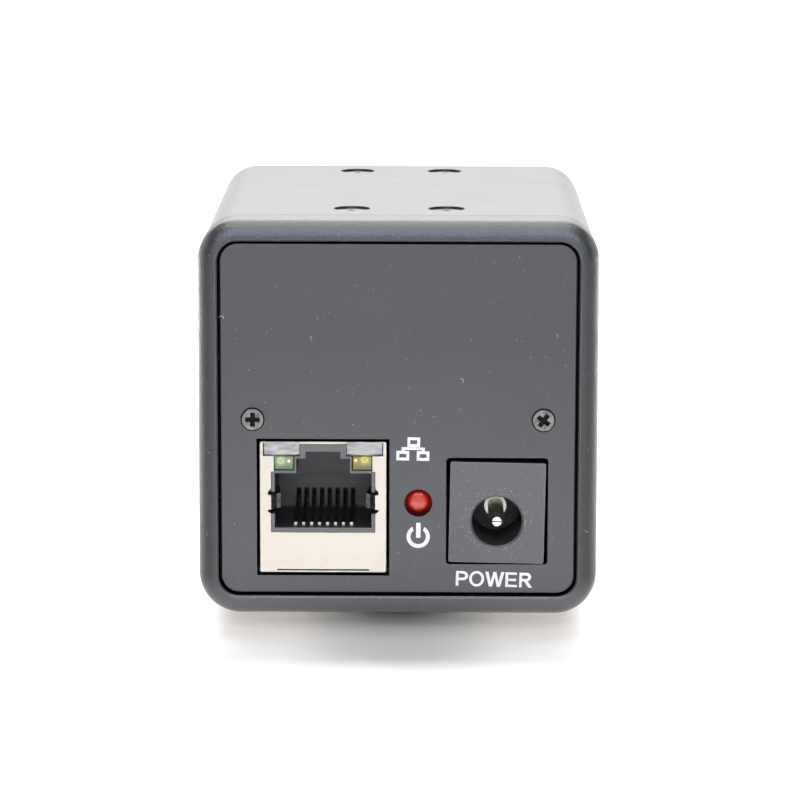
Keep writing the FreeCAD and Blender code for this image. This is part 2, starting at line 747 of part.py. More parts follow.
def lens_mount():
    body = new_body("lens_mount")
    front = "(cover_thick + mount_lip)"
    turn(body, ALONG_X, outline(
        ("-mount_flange_thick", "mount_bore"), (front, "mount_bore"),
        (front, MOUNT_NECK + " - mount_chamfer"), (front + " - mount_chamfer", MOUNT_NECK), ("0", MOUNT_NECK),
        ("0", MOUNT_FLANGE), ("-mount_flange_thick", MOUNT_FLANGE)))
    pocket(body, ALONG_Y, "-mount_flange_thick", "mount_flange_thick",
           *(disc(x, z, "post_screw_shank + hole_gap") for x, z in mount_screw_places()))
    return place(body, "0", COVER_Y, AXIS_Z)


def lens_mount_screws():
    screw = pan_screw("lens_mount_screw", "post_screw_head", "post_screw_head_height",
                      "post_screw_shank", "(mount_flange_thick + mount_screw_depth)")
    return group("lens_mount_screws", screw, [
        (x, COVER_Y + " - mount_flange_thick", "%s + %s" % (AXIS_Z, z), Y_TURN, "0")
        for x, z in mount_screw_places()])


def tripod_block():
    body = new_body("tripod_block")
    pad(body, ALONG_Z, "0", SLEEVE_BOTTOM, rounded("-block_width / 2", "-block_length / 2", "block_width / 2",
                                                   "block_length / 2", "block_corner"))
    fillet(body, "block_edge", lies_at("Z", "0"))
    pocket(body, ALONG_Z, "0", SLEEVE_BOTTOM, disc("0", "0", "insert_radius + thread_gap"))
    countersink(body, "0", False, [("0", y) for y in BLOCK_SCREWS], "sleeve_screw_recess", SLEEVE_BOTTOM)
    return body


def tripod_block_screws():
    screw = countersunk_screw("tripod_block_screw", "block_screw_length")
    return group("tripod_block_screws", screw,
                 [("0", y, "sleeve_screw_recess", Y_TURN, "180") for y in BLOCK_SCREWS])


def tripod_insert():
    body = new_body("tripod_insert")
    turn(body, ALONG_Y, outline(
        ("tripod_core", "0"), ("insert_radius", "0"), ("insert_radius", SLEEVE_BOTTOM),
        ("insert_neck", SLEEVE_BOTTOM), ("insert_neck", "insert_height"), ("tripod_core", "insert_height")),
        axis="V_Axis")
    return body


def board_screw_places():
    """The four screws of the lower board, behind the network jack and near the front edge."""
    rows = ("(%s + jack_depth + board_screw_rear)" % JACK_Y, "(%s - board_screw_front)" % BOARD_FRONT)
    return [(x, row) for row in rows for x in both_sides(BOARD_SCREW_X)]


def io_board():
    body = new_body("io_board")
    pad(body, ALONG_Z, "0", "board_thick", rectangle("-" + BOARD_HALF, BOARD_REAR, BOARD_HALF, BOARD_FRONT))
    pocket(body, ALONG_Z, "0", "board_thick",
           *(disc(x, y, "board_screw_shank + hole_gap") for x, y in board_screw_places()))
    return place(body, "0", "0", BOARD_BOTTOM)


def io_board_screws():
    screw = pan_screw("io_board_screw", "board_screw_head", "board_screw_head_height",
                      "board_screw_shank", "board_screw_length")
    return group("io_board_screws", screw, [
        (x, y, BOARD_TOP, X_TURN, "-90") for x, y in board_screw_places()])


def window_outline(inset):
    """The front window of the jack's shell, with the notch for the latch above it."""
    side, neck = "(window_half - %s)" % inset, "(notch_half - %s)" % inset
    lamp = "(lamp_inner + lamp_width + jack_fit - %s)" % inset
    low, step, top = "(window_floor + %s)" % inset, "(window_step - %s)" % inset, "(window_top - %s)" % inset
    roof = "(jack_height / 2 - jack_sheet - %s)" % inset
    return both_halves([(side, low), (side, step), (lamp, step), (lamp, top), (neck, top), (neck, roof)])


def finger_outline(side):
    """A spring finger, bent from the edge of the window into the mouth, on the right (1) or left (-1)."""
    points = [
        ("finger_slit", "0"), ("finger_slit", "jack_sheet"), ("jack_sheet / 2", "jack_sheet"),
        ("jack_sheet / 2 - finger_step", "finger_set + jack_sheet"),
        ("jack_sheet - finger_reach", "finger_set + 2 * jack_sheet"),
        ("jack_sheet - finger_return", "finger_depth"), ("-finger_return", "finger_depth"),
        ("-finger_reach", "finger_set + jack_sheet"), ("-finger_step", "finger_set"), ("0", "0")]
    return outline(*(("%d * (window_half + %s)" % (side, x), y) for x, y in points))


def barb_outline(side, root, tip):
    """A slit with a slanting edge that frees a spring finger, from its root to the tip of the slant."""
    points = [("0", root), ("finger_slit", root), ("finger_slit", "(%s + %s) / 2" % (root, tip)), ("0", tip)]
    return outline(*(("%d * (window_half + %s)" % (side, x), z) for x, z in points))


def ethernet_shell():
    body = new_body("ethernet_shell")
    wide, tall = "(jack_width / 2)", "(jack_height / 2)"
    pad(body, ALONG_Y, "0", "jack_depth", rounded("-" + wide, "-" + tall, wide, tall, "jack_corner"))
    inner = "(%s - jack_sheet)" % wide
    pocket(body, ALONG_Y, "jack_sheet", "jack_depth - 2 * jack_sheet",
           rectangle("-" + inner, "-" + tall, inner, tall + " - jack_sheet"))
    pocket(body, ALONG_Y, "0", "jack_sheet", window_outline("0"))
    barbs = (("finger_top", "finger_top + barb_height"), ("finger_floor", "finger_floor - barb_drop"))
    pocket(body, ALONG_Y, "0", "jack_sheet",
           *(barb_outline(side, root, tip) for side in SIDES for root, tip in barbs))
    slit_low = "fold_slit_rise - " + tall
    pocket(body, ALONG_Y, "0", "jack_sheet",
           rectangle("-fold_slit_half", slit_low, "fold_slit_half", slit_low + " + fold_slit"))
    pad(body, ALONG_Z, "finger_floor", "finger_top - finger_floor", *(finger_outline(side) for side in SIDES))
    pocket(body, ALONG_Y, "0", "jack_sheet",
           *mirrored(rectangle, "notch_half", "window_top", "tab_reach + tab_slit", tall))
    tab = outline(("0", tall), ("tab_lean", "window_top"), ("tab_lean + jack_sheet", "window_top"),
                  ("jack_sheet", tall))
    for start in ("notch_half", "-tab_reach"):
        pad(body, ALONG_X, start, "tab_reach - notch_half", tab)
    return in_jack(body)


def in_jack(body):
    """Set a piece of the network jack about the middle of its front face."""
    return place(body, "jack_x", JACK_Y, "%s + %s" % (AXIS_Z, JACK_Z))


def contact_places():
    """Sideways places of the contacts, about the middle of the jack."""
    return ["(%g * contact_spacing)" % (index - (CONTACTS - 1) / 2) for index in range(CONTACTS)]


def ethernet_insert():
    body = new_body("ethernet_insert")
    tall = "(jack_height / 2)"
    pad(body, ALONG_Y, "jack_sheet + jack_fit", "jack_depth - 2 * (jack_sheet + jack_fit)",
        rectangle("-" + CORE_HALF, "-" + tall, CORE_HALF, tall + " - jack_sheet - jack_fit"))
    pad(body, ALONG_Y, "0", "2 * jack_sheet", window_outline("jack_fit"))
    right = [
        ("plug_half", "plug_floor"), ("plug_half", "plug_top"), ("latch_half", "plug_top"),
        ("latch_half", "latch_step"), ("latch_slot_half", "latch_step"), ("latch_slot_half", "latch_top")]
    pocket(body, ALONG_Y, "0", "plug_depth", both_halves(right))
    pocket(body, ALONG_Y, "plug_depth", "wall_step",
           rectangle("-plug_half", "plug_floor", "plug_half", "wall_edge"))
    pocket(body, ALONG_Y, "plug_depth + wall_step", "comb_depth", *(
        rectangle(x + " - comb_slot / 2", "plug_floor", x + " + comb_slot / 2", "contact_high + comb_slot")
        for x in contact_places()))
    pocket(body, ALONG_Y, "0", "finger_depth / 2", *mirrored(
        rectangle, "plug_half", "finger_floor - barb_drop", "window_half + finger_slit + finger_fit",
        "finger_top + barb_height / 2"))
    pocket(body, ALONG_Y, "0", "jack_sheet + tab_lean + 2 * jack_fit", *mirrored(
        rectangle, "notch_half - jack_fit", "window_top - jack_fit", CORE_HALF, tall))
    pocket(body, ALONG_Y, "0", "lamp_depth + jack_fit", *mirrored(
        rectangle, "lamp_inner - lamp_gap", "lamp_floor - lamp_gap", "lamp_inner + lamp_width + jack_fit",
        "lamp_floor + lamp_height + jack_fit"))
    return in_jack(body)


def ethernet_contacts():
    wire = new_body("ethernet_contact")
    low, high, under = "plug_floor", "contact_high", "contact_high - contact_thick"
    back = "plug_depth + wall_step + comb_depth - hole_gap"
    pad(wire, ALONG_X, "-contact_width / 2", "contact_width", outline(
        ("contact_front", low), ("contact_front + contact_thick", low), ("contact_rear", under),
        (back, under), (back, high), ("contact_rear - contact_thick / 2", high),
        ("contact_front", low + " + contact_thick")))
    return group("ethernet_contacts", wire, [
        ("jack_x + " + x, JACK_Y, "%s + %s" % (AXIS_Z, JACK_Z), Z_TURN, "0") for x in contact_places()])


def jack_lamp(node, left):
    """One of the two clear lamp windows above the plug opening."""
    body = new_body(node)
    pad(body, ALONG_Y, "0", "lamp_depth",
        rectangle(left, "lamp_floor", left + " + lamp_width", "lamp_floor + lamp_height"))
    fillet(body, "lamp_edge", lies_at("Y", "0"))
    return in_jack(body)


def place_in_power_jack(body):
    """Set a piece of the power jack about the axis of its bore, with the jack's slight turn."""
    body.Placement = FreeCAD.Placement(FreeCAD.Vector(), FreeCAD.Rotation(Y_TURN, number("power_turn")))
    return place(body, "power_x", PLATE_Y, BOARD_TOP + " + power_rise")


def dc_jack_body():
    body = new_body("dc_jack_body")
    wide = "(power_width / 2)"
    low, high = "(bore_drop - power_height / 2)", "(bore_drop + power_height / 2)"
    pad(body, ALONG_Y, "0", "power_depth", rounded("-" + wide, low, wide, high, "power_corner"))
    foot_start = "(plate_thick + board_gap)"
    foot_low = "(power_foot_gap - power_rise)"
    pad(body, ALONG_Y, foot_start, "power_depth - " + foot_start,
        rectangle("-power_foot_width / 2", foot_low, "power_foot_width / 2", low + " + power_corner"))
    pocket(body, ALONG_Y, "0", "bore_depth", disc("0", "0", "bore_radius"))
    chamfer(body, "bore_chamfer", lies_at("Y", "0", "bore_radius"))
    half = "(spring_width / 2 + hole_gap)"
    pocket(body, ALONG_Y, "spring_start", "bore_depth - spring_start",
           rectangle("0", "-" + half, "bore_radius + 2 * spring_thick", half))
    return place_in_power_jack(body)


def dc_jack_pin():
    body = new_body("dc_jack_pin")
    flange_start = "bore_depth - pin_flange_thick"
    turn(body, ALONG_X, outline(
        ("power_pin_recess", "0"), ("bore_depth", "0"), ("bore_depth", "pin_flange"),
        (flange_start, "pin_flange"), (flange_start, "power_pin"),
        ("power_pin_recess + pin_taper", "power_pin"), ("power_pin_recess", "power_pin_tip")))
    pocket(body, ALONG_Y, "power_pin_recess", "pin_slit_depth",
           rectangle("-power_pin", "-pin_slit / 2", "power_pin", "pin_slit / 2"))
    return place_in_power_jack(body)


def dc_jack_spring():
    body = new_body("dc_jack_spring")
    back, front = "(bore_radius + 2 * spring_thick)", "(bore_radius - spring_bulge)"
    middle = "(spring_start + bore_depth) / 2"
    first, last = "(spring_start + hole_gap)", "(bore_depth)"
    pad(body, ALONG_Z, "-spring_width / 2", "spring_width", outline(
        (back, first), (back, last), (back + " - spring_thick", last), (front, middle),
        (back + " - spring_thick", first)))
    return place_in_power_jack(body)


def power_led():
    body = new_body("power_led")
    turn(body, ALONG_X, outline(
        ("0", "0"), (LED_BACK, "0"), (LED_BACK, "led_flange"), ("led_length", "led_flange"),
        ("led_length", "led_radius"), ("0", "led_radius")))
    fillet(body, "led_dome", lies_at("Y", "0"))
    return place(body, "led_x", LED_Y, BOARD_TOP + " + led_rise")


def power_led_holder():
    body = new_body("power_led_holder")
    start = "(plate_thick - led_recess + board_gap)"
    length = "%s - %s" % (LED_BACK, start)
    pad(body, ALONG_Y, start, length, rectangle(
        "-led_holder_half", "-led_rise", "led_holder_half", "led_holder_half"))
    pocket(body, ALONG_Y, start, length, disc("0", "0", "led_radius + led_fit"))
    pocket(body, ALONG_Y, "led_length - led_fit", "led_flange_thick + led_fit",
           disc("0", "0", "led_flange + led_fit"))
    return place(body, "led_x", LED_Y, BOARD_TOP + " + led_rise")


def power_led_leads():
    lead = new_body("power_led_lead")
    half = "lead_width / 2"
    near, far = LED_BACK + " + lead_gap", LED_BACK + " + lead_gap + lead_width"
    pad(lead, ALONG_X, "-" + half, "lead_width", outline(
        (LED_BACK, "-" + half), (near, "-" + half), (near, "-led_rise"), (far, "-led_rise"), (far, half),
        (LED_BACK, half)))
    height = BOARD_TOP + " + led_rise"
    return group("power_led_leads", lead, [
        ("led_x + " + x, LED_Y, height, Z_TURN, "0") for x in both_sides("lead_spacing / 2")])


def processor():
    body = new_body("processor")
    pad(body, ALONG_Y, "-processor_thick", "processor_thick", square("processor_half", "capacitor_edge"))
    return place(body, "0", SENSOR_Y + " - board_thick", AXIS_Z + " + processor_rise")


def poe_transformer():
    body = new_body("poe_transformer")
    wide, long = "transformer_width / 2", "transformer_length / 2"
    waist = "(transformer_height - 2 * transformer_leg)"
    full = rectangle("-" + wide, "-" + long, wide, long)
    pad(body, ALONG_Z, "0", "transformer_leg", full)
    pad(body, ALONG_Z, "transformer_leg", waist, rectangle(
        "transformer_waist - " + wide, "transformer_waist - " + long, wide + " - transformer_waist",
        long + " - transformer_waist"))
    pad(body, ALONG_Z, "transformer_height - transformer_leg", "transformer_leg", full)
    return place(body, TRANSFORMER_X, TRANSFORMER_Y, BOARD_TOP)


def poe_capacitor():
    body = new_body("poe_capacitor")
    turn(body, ALONG_Y, outline(
        ("0", "0"), ("capacitor_radius", "0"), ("capacitor_radius", "capacitor_height - capacitor_edge"),
        ("capacitor_radius - capacitor_edge", "capacitor_height"), ("0", "capacitor_height")), axis="V_Axis")
    return place(body, TRANSFORMER_X, CAPACITOR_Y, BOARD_TOP)


def flex_connectors():
    socket = new_body("flex_connector")
    wide, long = "connector_width / 2", "connector_length / 2"
    pad(socket, ALONG_Z, "0", "connector_height", rectangle("-" + wide, "-" + long, wide, long))
    half, gap = "(flex_width / 2 + flex_fit)", "(flex_thick / 2 + flex_fit)"
    pocket(socket, ALONG_Y, "0", long, rectangle("-" + half, "connector_height / 2 - " + gap, half,
                                                 "connector_height / 2 + " + gap))
    down_and_back = FreeCAD.Vector(0, 1, -1)
    return group("flex_connectors", socket, [
        ("flex_x", "%s - %s" % (BOARD_FRONT, long), BOARD_TOP, Z_TURN, "0"),
        ("flex_x", SENSOR_Y + " - board_thick", CONNECTOR_Z, down_and_back, "180")])


def flex_cable():
    body = new_body("flex_cable")
    low = "(%s + connector_height / 2 - flex_thick / 2)" % BOARD_TOP
    high = "(%s + connector_height / 2 + flex_thick / 2)" % BOARD_TOP
    rear = "(%s - board_thick - connector_height / 2 - flex_thick / 2)" % SENSOR_Y
    front = "(%s - board_thick - connector_height / 2 + flex_thick / 2)" % SENSOR_Y
    start = "%s - connector_length / 2 + flex_fit" % BOARD_FRONT
    top = CONNECTOR_Z + " - flex_fit"
    inner = "(flex_bend - flex_thick)"
    pad(body, ALONG_X, "-flex_width / 2", "flex_width", outline(
        (start, low), (front + " - flex_bend", low, "flex_bend"), (front, low + " + flex_bend"), (front, top),
        (rear, top), (rear, "%s + %s" % (high, inner), "-" + inner), ("%s - %s" % (rear, inner), high),
        (start, high)))
    return place(body, "flex_x", "0", "0")


def post_places():
    """The four posts of the sensor board, outside the flange of the lens mount."""
    return [(x, z) for x in both_sides(POST) for z in both_sides(POST)]


def mount_screw_places():
    """The four screws in the flange of the lens mount."""
    return [(x, "0") for x in both_sides(MOUNT_SCREW)] + [("0", z) for z in both_sides(MOUNT_SCREW)]


def sensor_board():
    body = new_body("sensor_board")
    pad(body, ALONG_Y, "-board_thick", "board_thick", square("(%s + post_radius)" % POST, "post_radius"))
    pocket(body, ALONG_Y, "-board_thick", "board_thick",
           *(disc(x, z, "post_screw_shank + hole_gap") for x, z in post_places()))
    return place(body, "0", SENSOR_Y, AXIS_Z)


def sensor_board_screws():
    screw = pan_screw("sensor_board_screw", "post_screw_head", "post_screw_head_height",
                      "post_screw_shank", "post_screw_length")
    return group("sensor_board_screws", screw, [
        (x, SENSOR_Y + " - board_thick", "%s + %s" % (AXIS_Z, z), Y_TURN, "0") for x, z in post_places()])


def image_sensor():
    body = new_body("image_sensor")
    wide, tall = "chip_width / 2", "chip_height / 2"
    pad(body, ALONG_Y, "0", "chip_thick", rectangle("-" + wide, "-" + tall, wide, tall))
    return place(body, "0", SENSOR_Y, AXIS_Z)


def filter_holder():
    body = new_body("filter_holder")
    pad(body, ALONG_Y, "0", "holder_depth", square("(filter_half + holder_wall)", "post_radius"))
    pocket(body, ALONG_Y, "0", "holder_depth - 2 * filter_thick",
           square("(filter_half + holder_step)", "filter_thick"))
    pocket(body, ALONG_Y, "0", "holder_depth", square("(filter_half - filter_seat)", "filter_thick"))
    pocket(body, ALONG_Y, "holder_depth - filter_thick", "filter_thick",
           square("(filter_half + filter_fit)", "filter_thick"))
    return place(body, "0", SENSOR_Y, AXIS_Z)


def ir_cut_filter():
    body = new_body("ir_cut_filter")
    pad(body, ALONG_Y, "holder_depth - filter_thick", "filter_thick", square("filter_half", "filter_thick"))
    return place(body, "0", SENSOR_Y, AXIS_Z)


def on_lens_axis(body):
    """Set a turned piece of the lens on the optical axis, measured from the face of its mount."""
    return place(body, "0", MOUNT_Y, AXIS_Z)


def lens_barrel():
    body = new_body("lens_barrel")
    groove_rear, groove_front = "groove_place - groove_width / 2", "groove_place + groove_width / 2"
    groove_floor = BARREL_NECK + " - groove_depth"
    thread = "mount_bore - hole_gap"
    turn(body, ALONG_X, outline(
        ("-barrel_thread", BARREL_BORE), ("barrel_length", BARREL_BORE), ("barrel_length", BARREL_NECK),
        (groove_front, BARREL_NECK), (groove_front, groove_floor), (groove_rear, groove_floor),
        (groove_rear, BARREL_NECK), ("barrel_grip", BARREL_NECK), ("barrel_grip", "barrel_radius"),
        ("mount_chamfer", "barrel_radius"), ("0", "barrel_radius - mount_chamfer"), ("0", thread),
        ("-barrel_thread", thread)))
    return on_lens_axis(body)


def focus_ring():
    body = new_body("focus_ring")
    rear, step = "barrel_grip + ring_gap", "barrel_length + ring_gap"
    bore = BARREL_NECK + " + running_fit"
    turn(body, ALONG_X, outline(
        (rear, bore), (step, bore), (step, HELICOID), ("ring_front", HELICOID),
        ("ring_front", "barrel_radius - ring_chamfer"), ("ring_front - ring_chamfer", "barrel_radius"),
        (rear, "barrel_radius")))
    pocket(body, ALONG_X, "-barrel_radius", "ring_wall + groove_depth",
           disc("groove_place", "0", "lock_shank + thread_gap"))
    flute = pocket(body, ALONG_Y, "ring_front - flute_reach", "flute_length",
                   disc("0", "barrel_radius + flute_out", "flute_radius"))
    ring_pattern(body, flute, FLUTES, "Y_Axis")
    return on_lens_axis(body)


def lens_cell():
    body = new_body("lens_cell")
    shank, head = BARREL_BORE + " - running_fit", HELICOID + " - running_fit"
    bore, step = BARREL_BORE + " - cell_wall", "barrel_length + cell_step"
    turn(body, ALONG_X, outline(
        ("-cell_rear", REAR_RADIUS), ("rear_seat", REAR_RADIUS), ("rear_seat", bore), (FRONT_SEAT, bore),
        (FRONT_SEAT, FRONT_RADIUS), (CELL_FRONT, FRONT_RADIUS), (CELL_FRONT, head), (step, head),
        (step, shank), ("-cell_rear", shank)))
    return on_lens_axis(body)


def glass_ring(node, start, length, bore, radius):
    """A plain turned ring that lies in a seat of the lens cell."""
    body = new_body(node)
    outer, end = radius + " - seat_fit", "%s + %s" % (start, length)
    turn(body, ALONG_X, outline((start, bore), (end, bore), (end, outer), (start, outer)))
    return on_lens_axis(body)


def aperture_disc():
    return glass_ring("aperture_disc", FRONT_SEAT, "aperture_thick", "aperture_radius", FRONT_RADIUS)


def sag(curve, radius):
    """Height of a spherical cap."""
    return "(%s - sqrt(%s ^ 2 - (%s) ^ 2))" % (curve, curve, radius)


FRONT_SAG = sag("front_curve", FRONT_RADIUS + " - seat_fit")
REAR_SAG = sag("rear_curve", REAR_RADIUS + " - seat_fit")


def front_element():
    body = new_body("front_element")
    edge = FRONT_GLASS_Y + " + front_edge"
    turn(body, ALONG_X, outline(
        (FRONT_GLASS_Y, "0"), ("%s + %s" % (edge, FRONT_SAG), "0", "front_curve"),
        (edge, FRONT_RADIUS + " - seat_fit"), (FRONT_GLASS_Y, FRONT_RADIUS + " - seat_fit")))
    return on_lens_axis(body)


def front_element_ring():
    bore = FRONT_RADIUS + " - glass_ring_lip"
    rise = "%s - %s" % (FRONT_SAG, sag("front_curve", bore))
    start = "(%s + front_edge + %s + lens_clear)" % (FRONT_GLASS_Y, rise)
    return glass_ring("front_element_ring", start, "glass_ring_length", bore, FRONT_RADIUS)


def rear_element():
    body = new_body("rear_element")
    edge = "rear_seat - rear_edge"
    turn(body, ALONG_X, outline(
        ("rear_seat", "0"), ("rear_seat", REAR_RADIUS + " - seat_fit"),
        (edge, REAR_RADIUS + " - seat_fit", "rear_curve"), ("%s - %s" % (edge, REAR_SAG), "0")))
    return on_lens_axis(body)


def rear_element_ring():
    bore = REAR_RADIUS + " - glass_ring_lip"
    rise = "%s - %s" % (REAR_SAG, sag("rear_curve", bore))
    start = "(rear_seat - rear_edge - (%s) - lens_clear - glass_ring_length)" % rise
    return glass_ring("rear_element_ring", start, "glass_ring_length", bore, REAR_RADIUS)


def focus_lock_screw():
    body = new_body("focus_lock_screw")
    tip = "-(%s - groove_depth + lock_tip_gap)" % BARREL_NECK
    shoulder = "-(%s + lock_tip_gap)" % BARREL_NECK
    seat = "-(barrel_radius + lock_head_gap)"
    end = "-(barrel_radius + lock_head_gap + lock_head_length)"
    turn(body, ALONG_Y, outline(
        (end, "0"), (tip, "0"), (tip, "lock_tip"), (shoulder, "lock_tip"), (shoulder, "lock_shank"),
        (seat, "lock_shank"), (seat, "lock_head"), (end, "lock_head")))
    flute = pocket(body, ALONG_X, end, "lock_head_length", disc("0", "lock_head", "lock_flute"))
    ring_pattern(body, flute, LOCK_FLUTES, "X_Axis")
    return place(body, "0", MOUNT_Y + " + groove_place", AXIS_Z)


PIECES = [
    rear_frame(), rear_plate(), rear_plate_screws(), housing_sleeve(), sleeve_screws(), front_cover(),
    lens_mount(), lens_mount_screws(), tripod_block(), tripod_block_screws(), tripod_insert(),
    io_board(), io_board_screws(), ethernet_shell(), ethernet_insert(), ethernet_contacts(),
    jack_lamp("link_led", "(-lamp_inner - lamp_width)"), jack_lamp("activity_led", "lamp_inner"),
    dc_jack_body(), dc_jack_pin(), dc_jack_spring(), power_led(), power_led_holder(), power_led_leads(),
    processor(), poe_transformer(), poe_capacitor(), flex_connectors(), flex_cable(),
    sensor_board(), sensor_board_screws(), image_sensor(), filter_holder(), ir_cut_filter(),
    lens_barrel(), focus_ring(), lens_cell(), aperture_disc(), front_element(), front_element_ring(),
    rear_element(), rear_element_ring(), focus_lock_screw(),
]
doc.recompute()
for item in doc.Objects:
    if "Invalid" in item.State or "Error" in item.State:
        raise ValueError("%s failed: %s" % (item.Name, item.State))
for piece in PIECES:
    if piece.Shape.isNull() or not piece.Shape.isValid():
        raise ValueError("%s has no valid shape" % piece.Label)
os.makedirs("parts", exist_ok=True)
for piece in PIECES:
    piece.Shape.exportStep("parts/%s.step" % piece.Label)
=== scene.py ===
import math

import bpy
from mathutils import Matrix, Vector


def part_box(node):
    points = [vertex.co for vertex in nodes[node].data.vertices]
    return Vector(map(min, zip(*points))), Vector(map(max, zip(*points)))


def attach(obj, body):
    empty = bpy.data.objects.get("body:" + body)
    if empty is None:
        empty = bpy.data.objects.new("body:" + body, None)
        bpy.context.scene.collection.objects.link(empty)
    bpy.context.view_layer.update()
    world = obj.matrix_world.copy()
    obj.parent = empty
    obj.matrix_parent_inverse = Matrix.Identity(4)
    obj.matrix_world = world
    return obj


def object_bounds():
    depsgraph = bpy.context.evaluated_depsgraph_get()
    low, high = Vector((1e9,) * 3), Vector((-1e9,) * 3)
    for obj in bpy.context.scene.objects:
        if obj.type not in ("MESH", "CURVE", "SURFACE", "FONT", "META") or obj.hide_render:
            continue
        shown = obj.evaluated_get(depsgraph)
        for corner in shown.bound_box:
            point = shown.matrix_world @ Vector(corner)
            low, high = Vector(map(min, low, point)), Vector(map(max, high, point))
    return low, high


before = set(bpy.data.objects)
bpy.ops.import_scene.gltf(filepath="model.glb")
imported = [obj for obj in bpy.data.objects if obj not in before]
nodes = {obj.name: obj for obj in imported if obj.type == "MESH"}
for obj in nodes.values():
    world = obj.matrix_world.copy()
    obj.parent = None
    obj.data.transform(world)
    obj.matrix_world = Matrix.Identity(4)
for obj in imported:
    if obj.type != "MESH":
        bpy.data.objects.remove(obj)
cad_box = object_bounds()

MM = 0.001
WHITE = "#ffffff"


# Places on the part

def middle_of(node):
    """The middle of a node as seen from the rear, with no depth."""
    low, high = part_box(node)
    return Vector(((low.x + high.x) / 2, 0, (low.z + high.z) / 2))


def rear_of(node):
    """How far back a node reaches."""
    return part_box(node)[0].y


PLATE_FACE = rear_of("rear_plate")
SHELL_FACE = rear_of("ethernet_shell")
CONTACT_TIP = rear_of("ethernet_contacts")
JACK_FACE = rear_of("dc_jack_body")
SCREW_FACE = rear_of("rear_plate_screws")
JOINT = rear_of("housing_sleeve")
LENS_AXIS = middle_of("lens_barrel").z
OPENING_HALF = 22.81 * MM


# Objects and nodes

def placed(name, data):
    """A new object at the origin."""
    made = bpy.data.objects.new(name, data)
    bpy.context.scene.collection.objects.link(made)
    return made


def finished_mesh(made, name):
    """The plain mesh that an object with modifiers or a curve gives. The object goes."""
    bpy.context.view_layer.update()
    mesh = bpy.data.meshes.new_from_object(made.evaluated_get(bpy.context.evaluated_depsgraph_get()))
    bpy.data.objects.remove(made)
    mesh.name = name
    return mesh


def linear(colour):
    """Turns an sRGB hex colour into the linear one that a shader takes."""
    parts = [int(colour[i:i + 2], 16) / 255 for i in (1, 3, 5)]
    return [p / 12.92 if p <= 0.04045 else ((p + 0.055) / 1.055) ** 2.4 for p in parts] + [1.0]


def add(tree, kind, inputs=None, **settings):
    """Adds a node with its settings. An input takes a value, or another node's output."""
    new = tree.nodes.new(kind)
    for name, value in settings.items():
        setattr(new, name, value)
    for key, value in (inputs or {}).items():
        if isinstance(value, bpy.types.NodeSocket):
            tree.links.new(value, new.inputs[key])
        else:
            new.inputs[key].default_value = value
    return new


def axes(tree, vector):
    """The X, Y and Z of a vector."""
    return add(tree, "ShaderNodeSeparateXYZ", {"Vector": vector}).outputs


def vector_math(tree, operation, *vectors):
    """The result of a vector operation, which is a number for some of them."""
    result = "Value" if operation in ("DISTANCE", "DOT_PRODUCT", "LENGTH") else "Vector"
    return add(tree, "ShaderNodeVectorMath", dict(enumerate(vectors)), operation=operation).outputs[result]


def flattened(tree, place):
    """A place with its depth left out."""
    return vector_math(tree, "MULTIPLY", place, (1, 0, 1))


def number_math(tree, operation, first, second):
    """The result of an operation on two numbers."""
    return add(tree, "ShaderNodeMath", {0: first, 1: second}, operation=operation).outputs["Value"]


def ranged(tree, value, start=0.0, end=1.0, low=0.0, high=1.0):
    """Goes from a low to a high number while a value goes from a start to an end."""
    return add(tree, "ShaderNodeMapRange", {"Value": value, "From Min": start, "From Max": end, "To Min": low,
                                            "To Max": high}).outputs["Result"]


def noise(tree, place, grain, detail, roughness=0.5):
    """A cloudy pattern from 0 to 1, about as coarse as the grain."""
    return add(tree, "ShaderNodeTexNoise", {"Vector": place, "Scale": 1 / grain, "Detail": detail,
                                            "Roughness": roughness}).outputs["Fac"]


def stretched(tree, place, scale):
    """A place to draw a pattern at, so that it is drawn out where the scale is small."""
    return add(tree, "ShaderNodeMapping", {"Vector": place, "Scale": scale}).outputs["Vector"]


# The colour sockets of a mix go by number, because those of its other types have the same names
MIX_SHARE, MIX_FIRST, MIX_SECOND, MIX_RESULT = 0, 6, 7, 2


def mixed(tree, share, first, second, blend="MIX"):
    """A mix of two colours, with a share from 0 to 1 of the second."""
    return add(tree, "ShaderNodeMix", {MIX_SHARE: share, MIX_FIRST: first, MIX_SECOND: second},
               data_type="RGBA", blend_type=blend).outputs[MIX_RESULT]


def ramp(tree, value, stops):
    """A colour that changes with a value. The stops are pairs of a value from 0 to 1 and a linear colour."""
    made = add(tree, "ShaderNodeValToRGB", {"Fac": value})
    elements = made.color_ramp.elements
    for element, (position, colour) in zip(elements, (stops[0], stops[-1])):
        element.position = position
        element.color = colour
    for position, colour in stops[1:-1]:
        elements.new(position).color = colour
    return made.outputs["Color"]


def bumpy(tree, height, strength, distance, edge):
    """The normal of a face with fine relief and softened edges."""
    softened = add(tree, "ShaderNodeBevel", {"Radius": edge}, samples=6).outputs["Normal"]
    return add(tree, "ShaderNodeBump", {"Height": height, "Strength": strength, "Distance": distance,
                                        "Normal": softened}).outputs["Normal"]


# Used for a painted highlight along the edges of the anodised parts and the plastic, and for the dull cut edges
# of the nickel sheet
def edge_highlight_and_burr(tree, radius, begins, full):
    """Where an edge lies, from 0 to 1. There the rounded normal leaves the face's own: the match at which that
    begins and the one at which it is full are given."""
    own = add(tree, "ShaderNodeNewGeometry").outputs["Normal"]
    rounded = add(tree, "ShaderNodeBevel", {"Radius": radius}, samples=8).outputs["Normal"]
    return ranged(tree, vector_math(tree, "DOT_PRODUCT", own, rounded), begins, full)


# Finishes

def blank_finish(name):
    """An empty material, its node tree, and where a point lies on the object."""
    material = bpy.data.materials.new(name)
    material.use_nodes = True
    tree = material.node_tree
    tree.nodes.clear()
    return material, tree, add(tree, "ShaderNodeTexCoord").outputs["Object"]


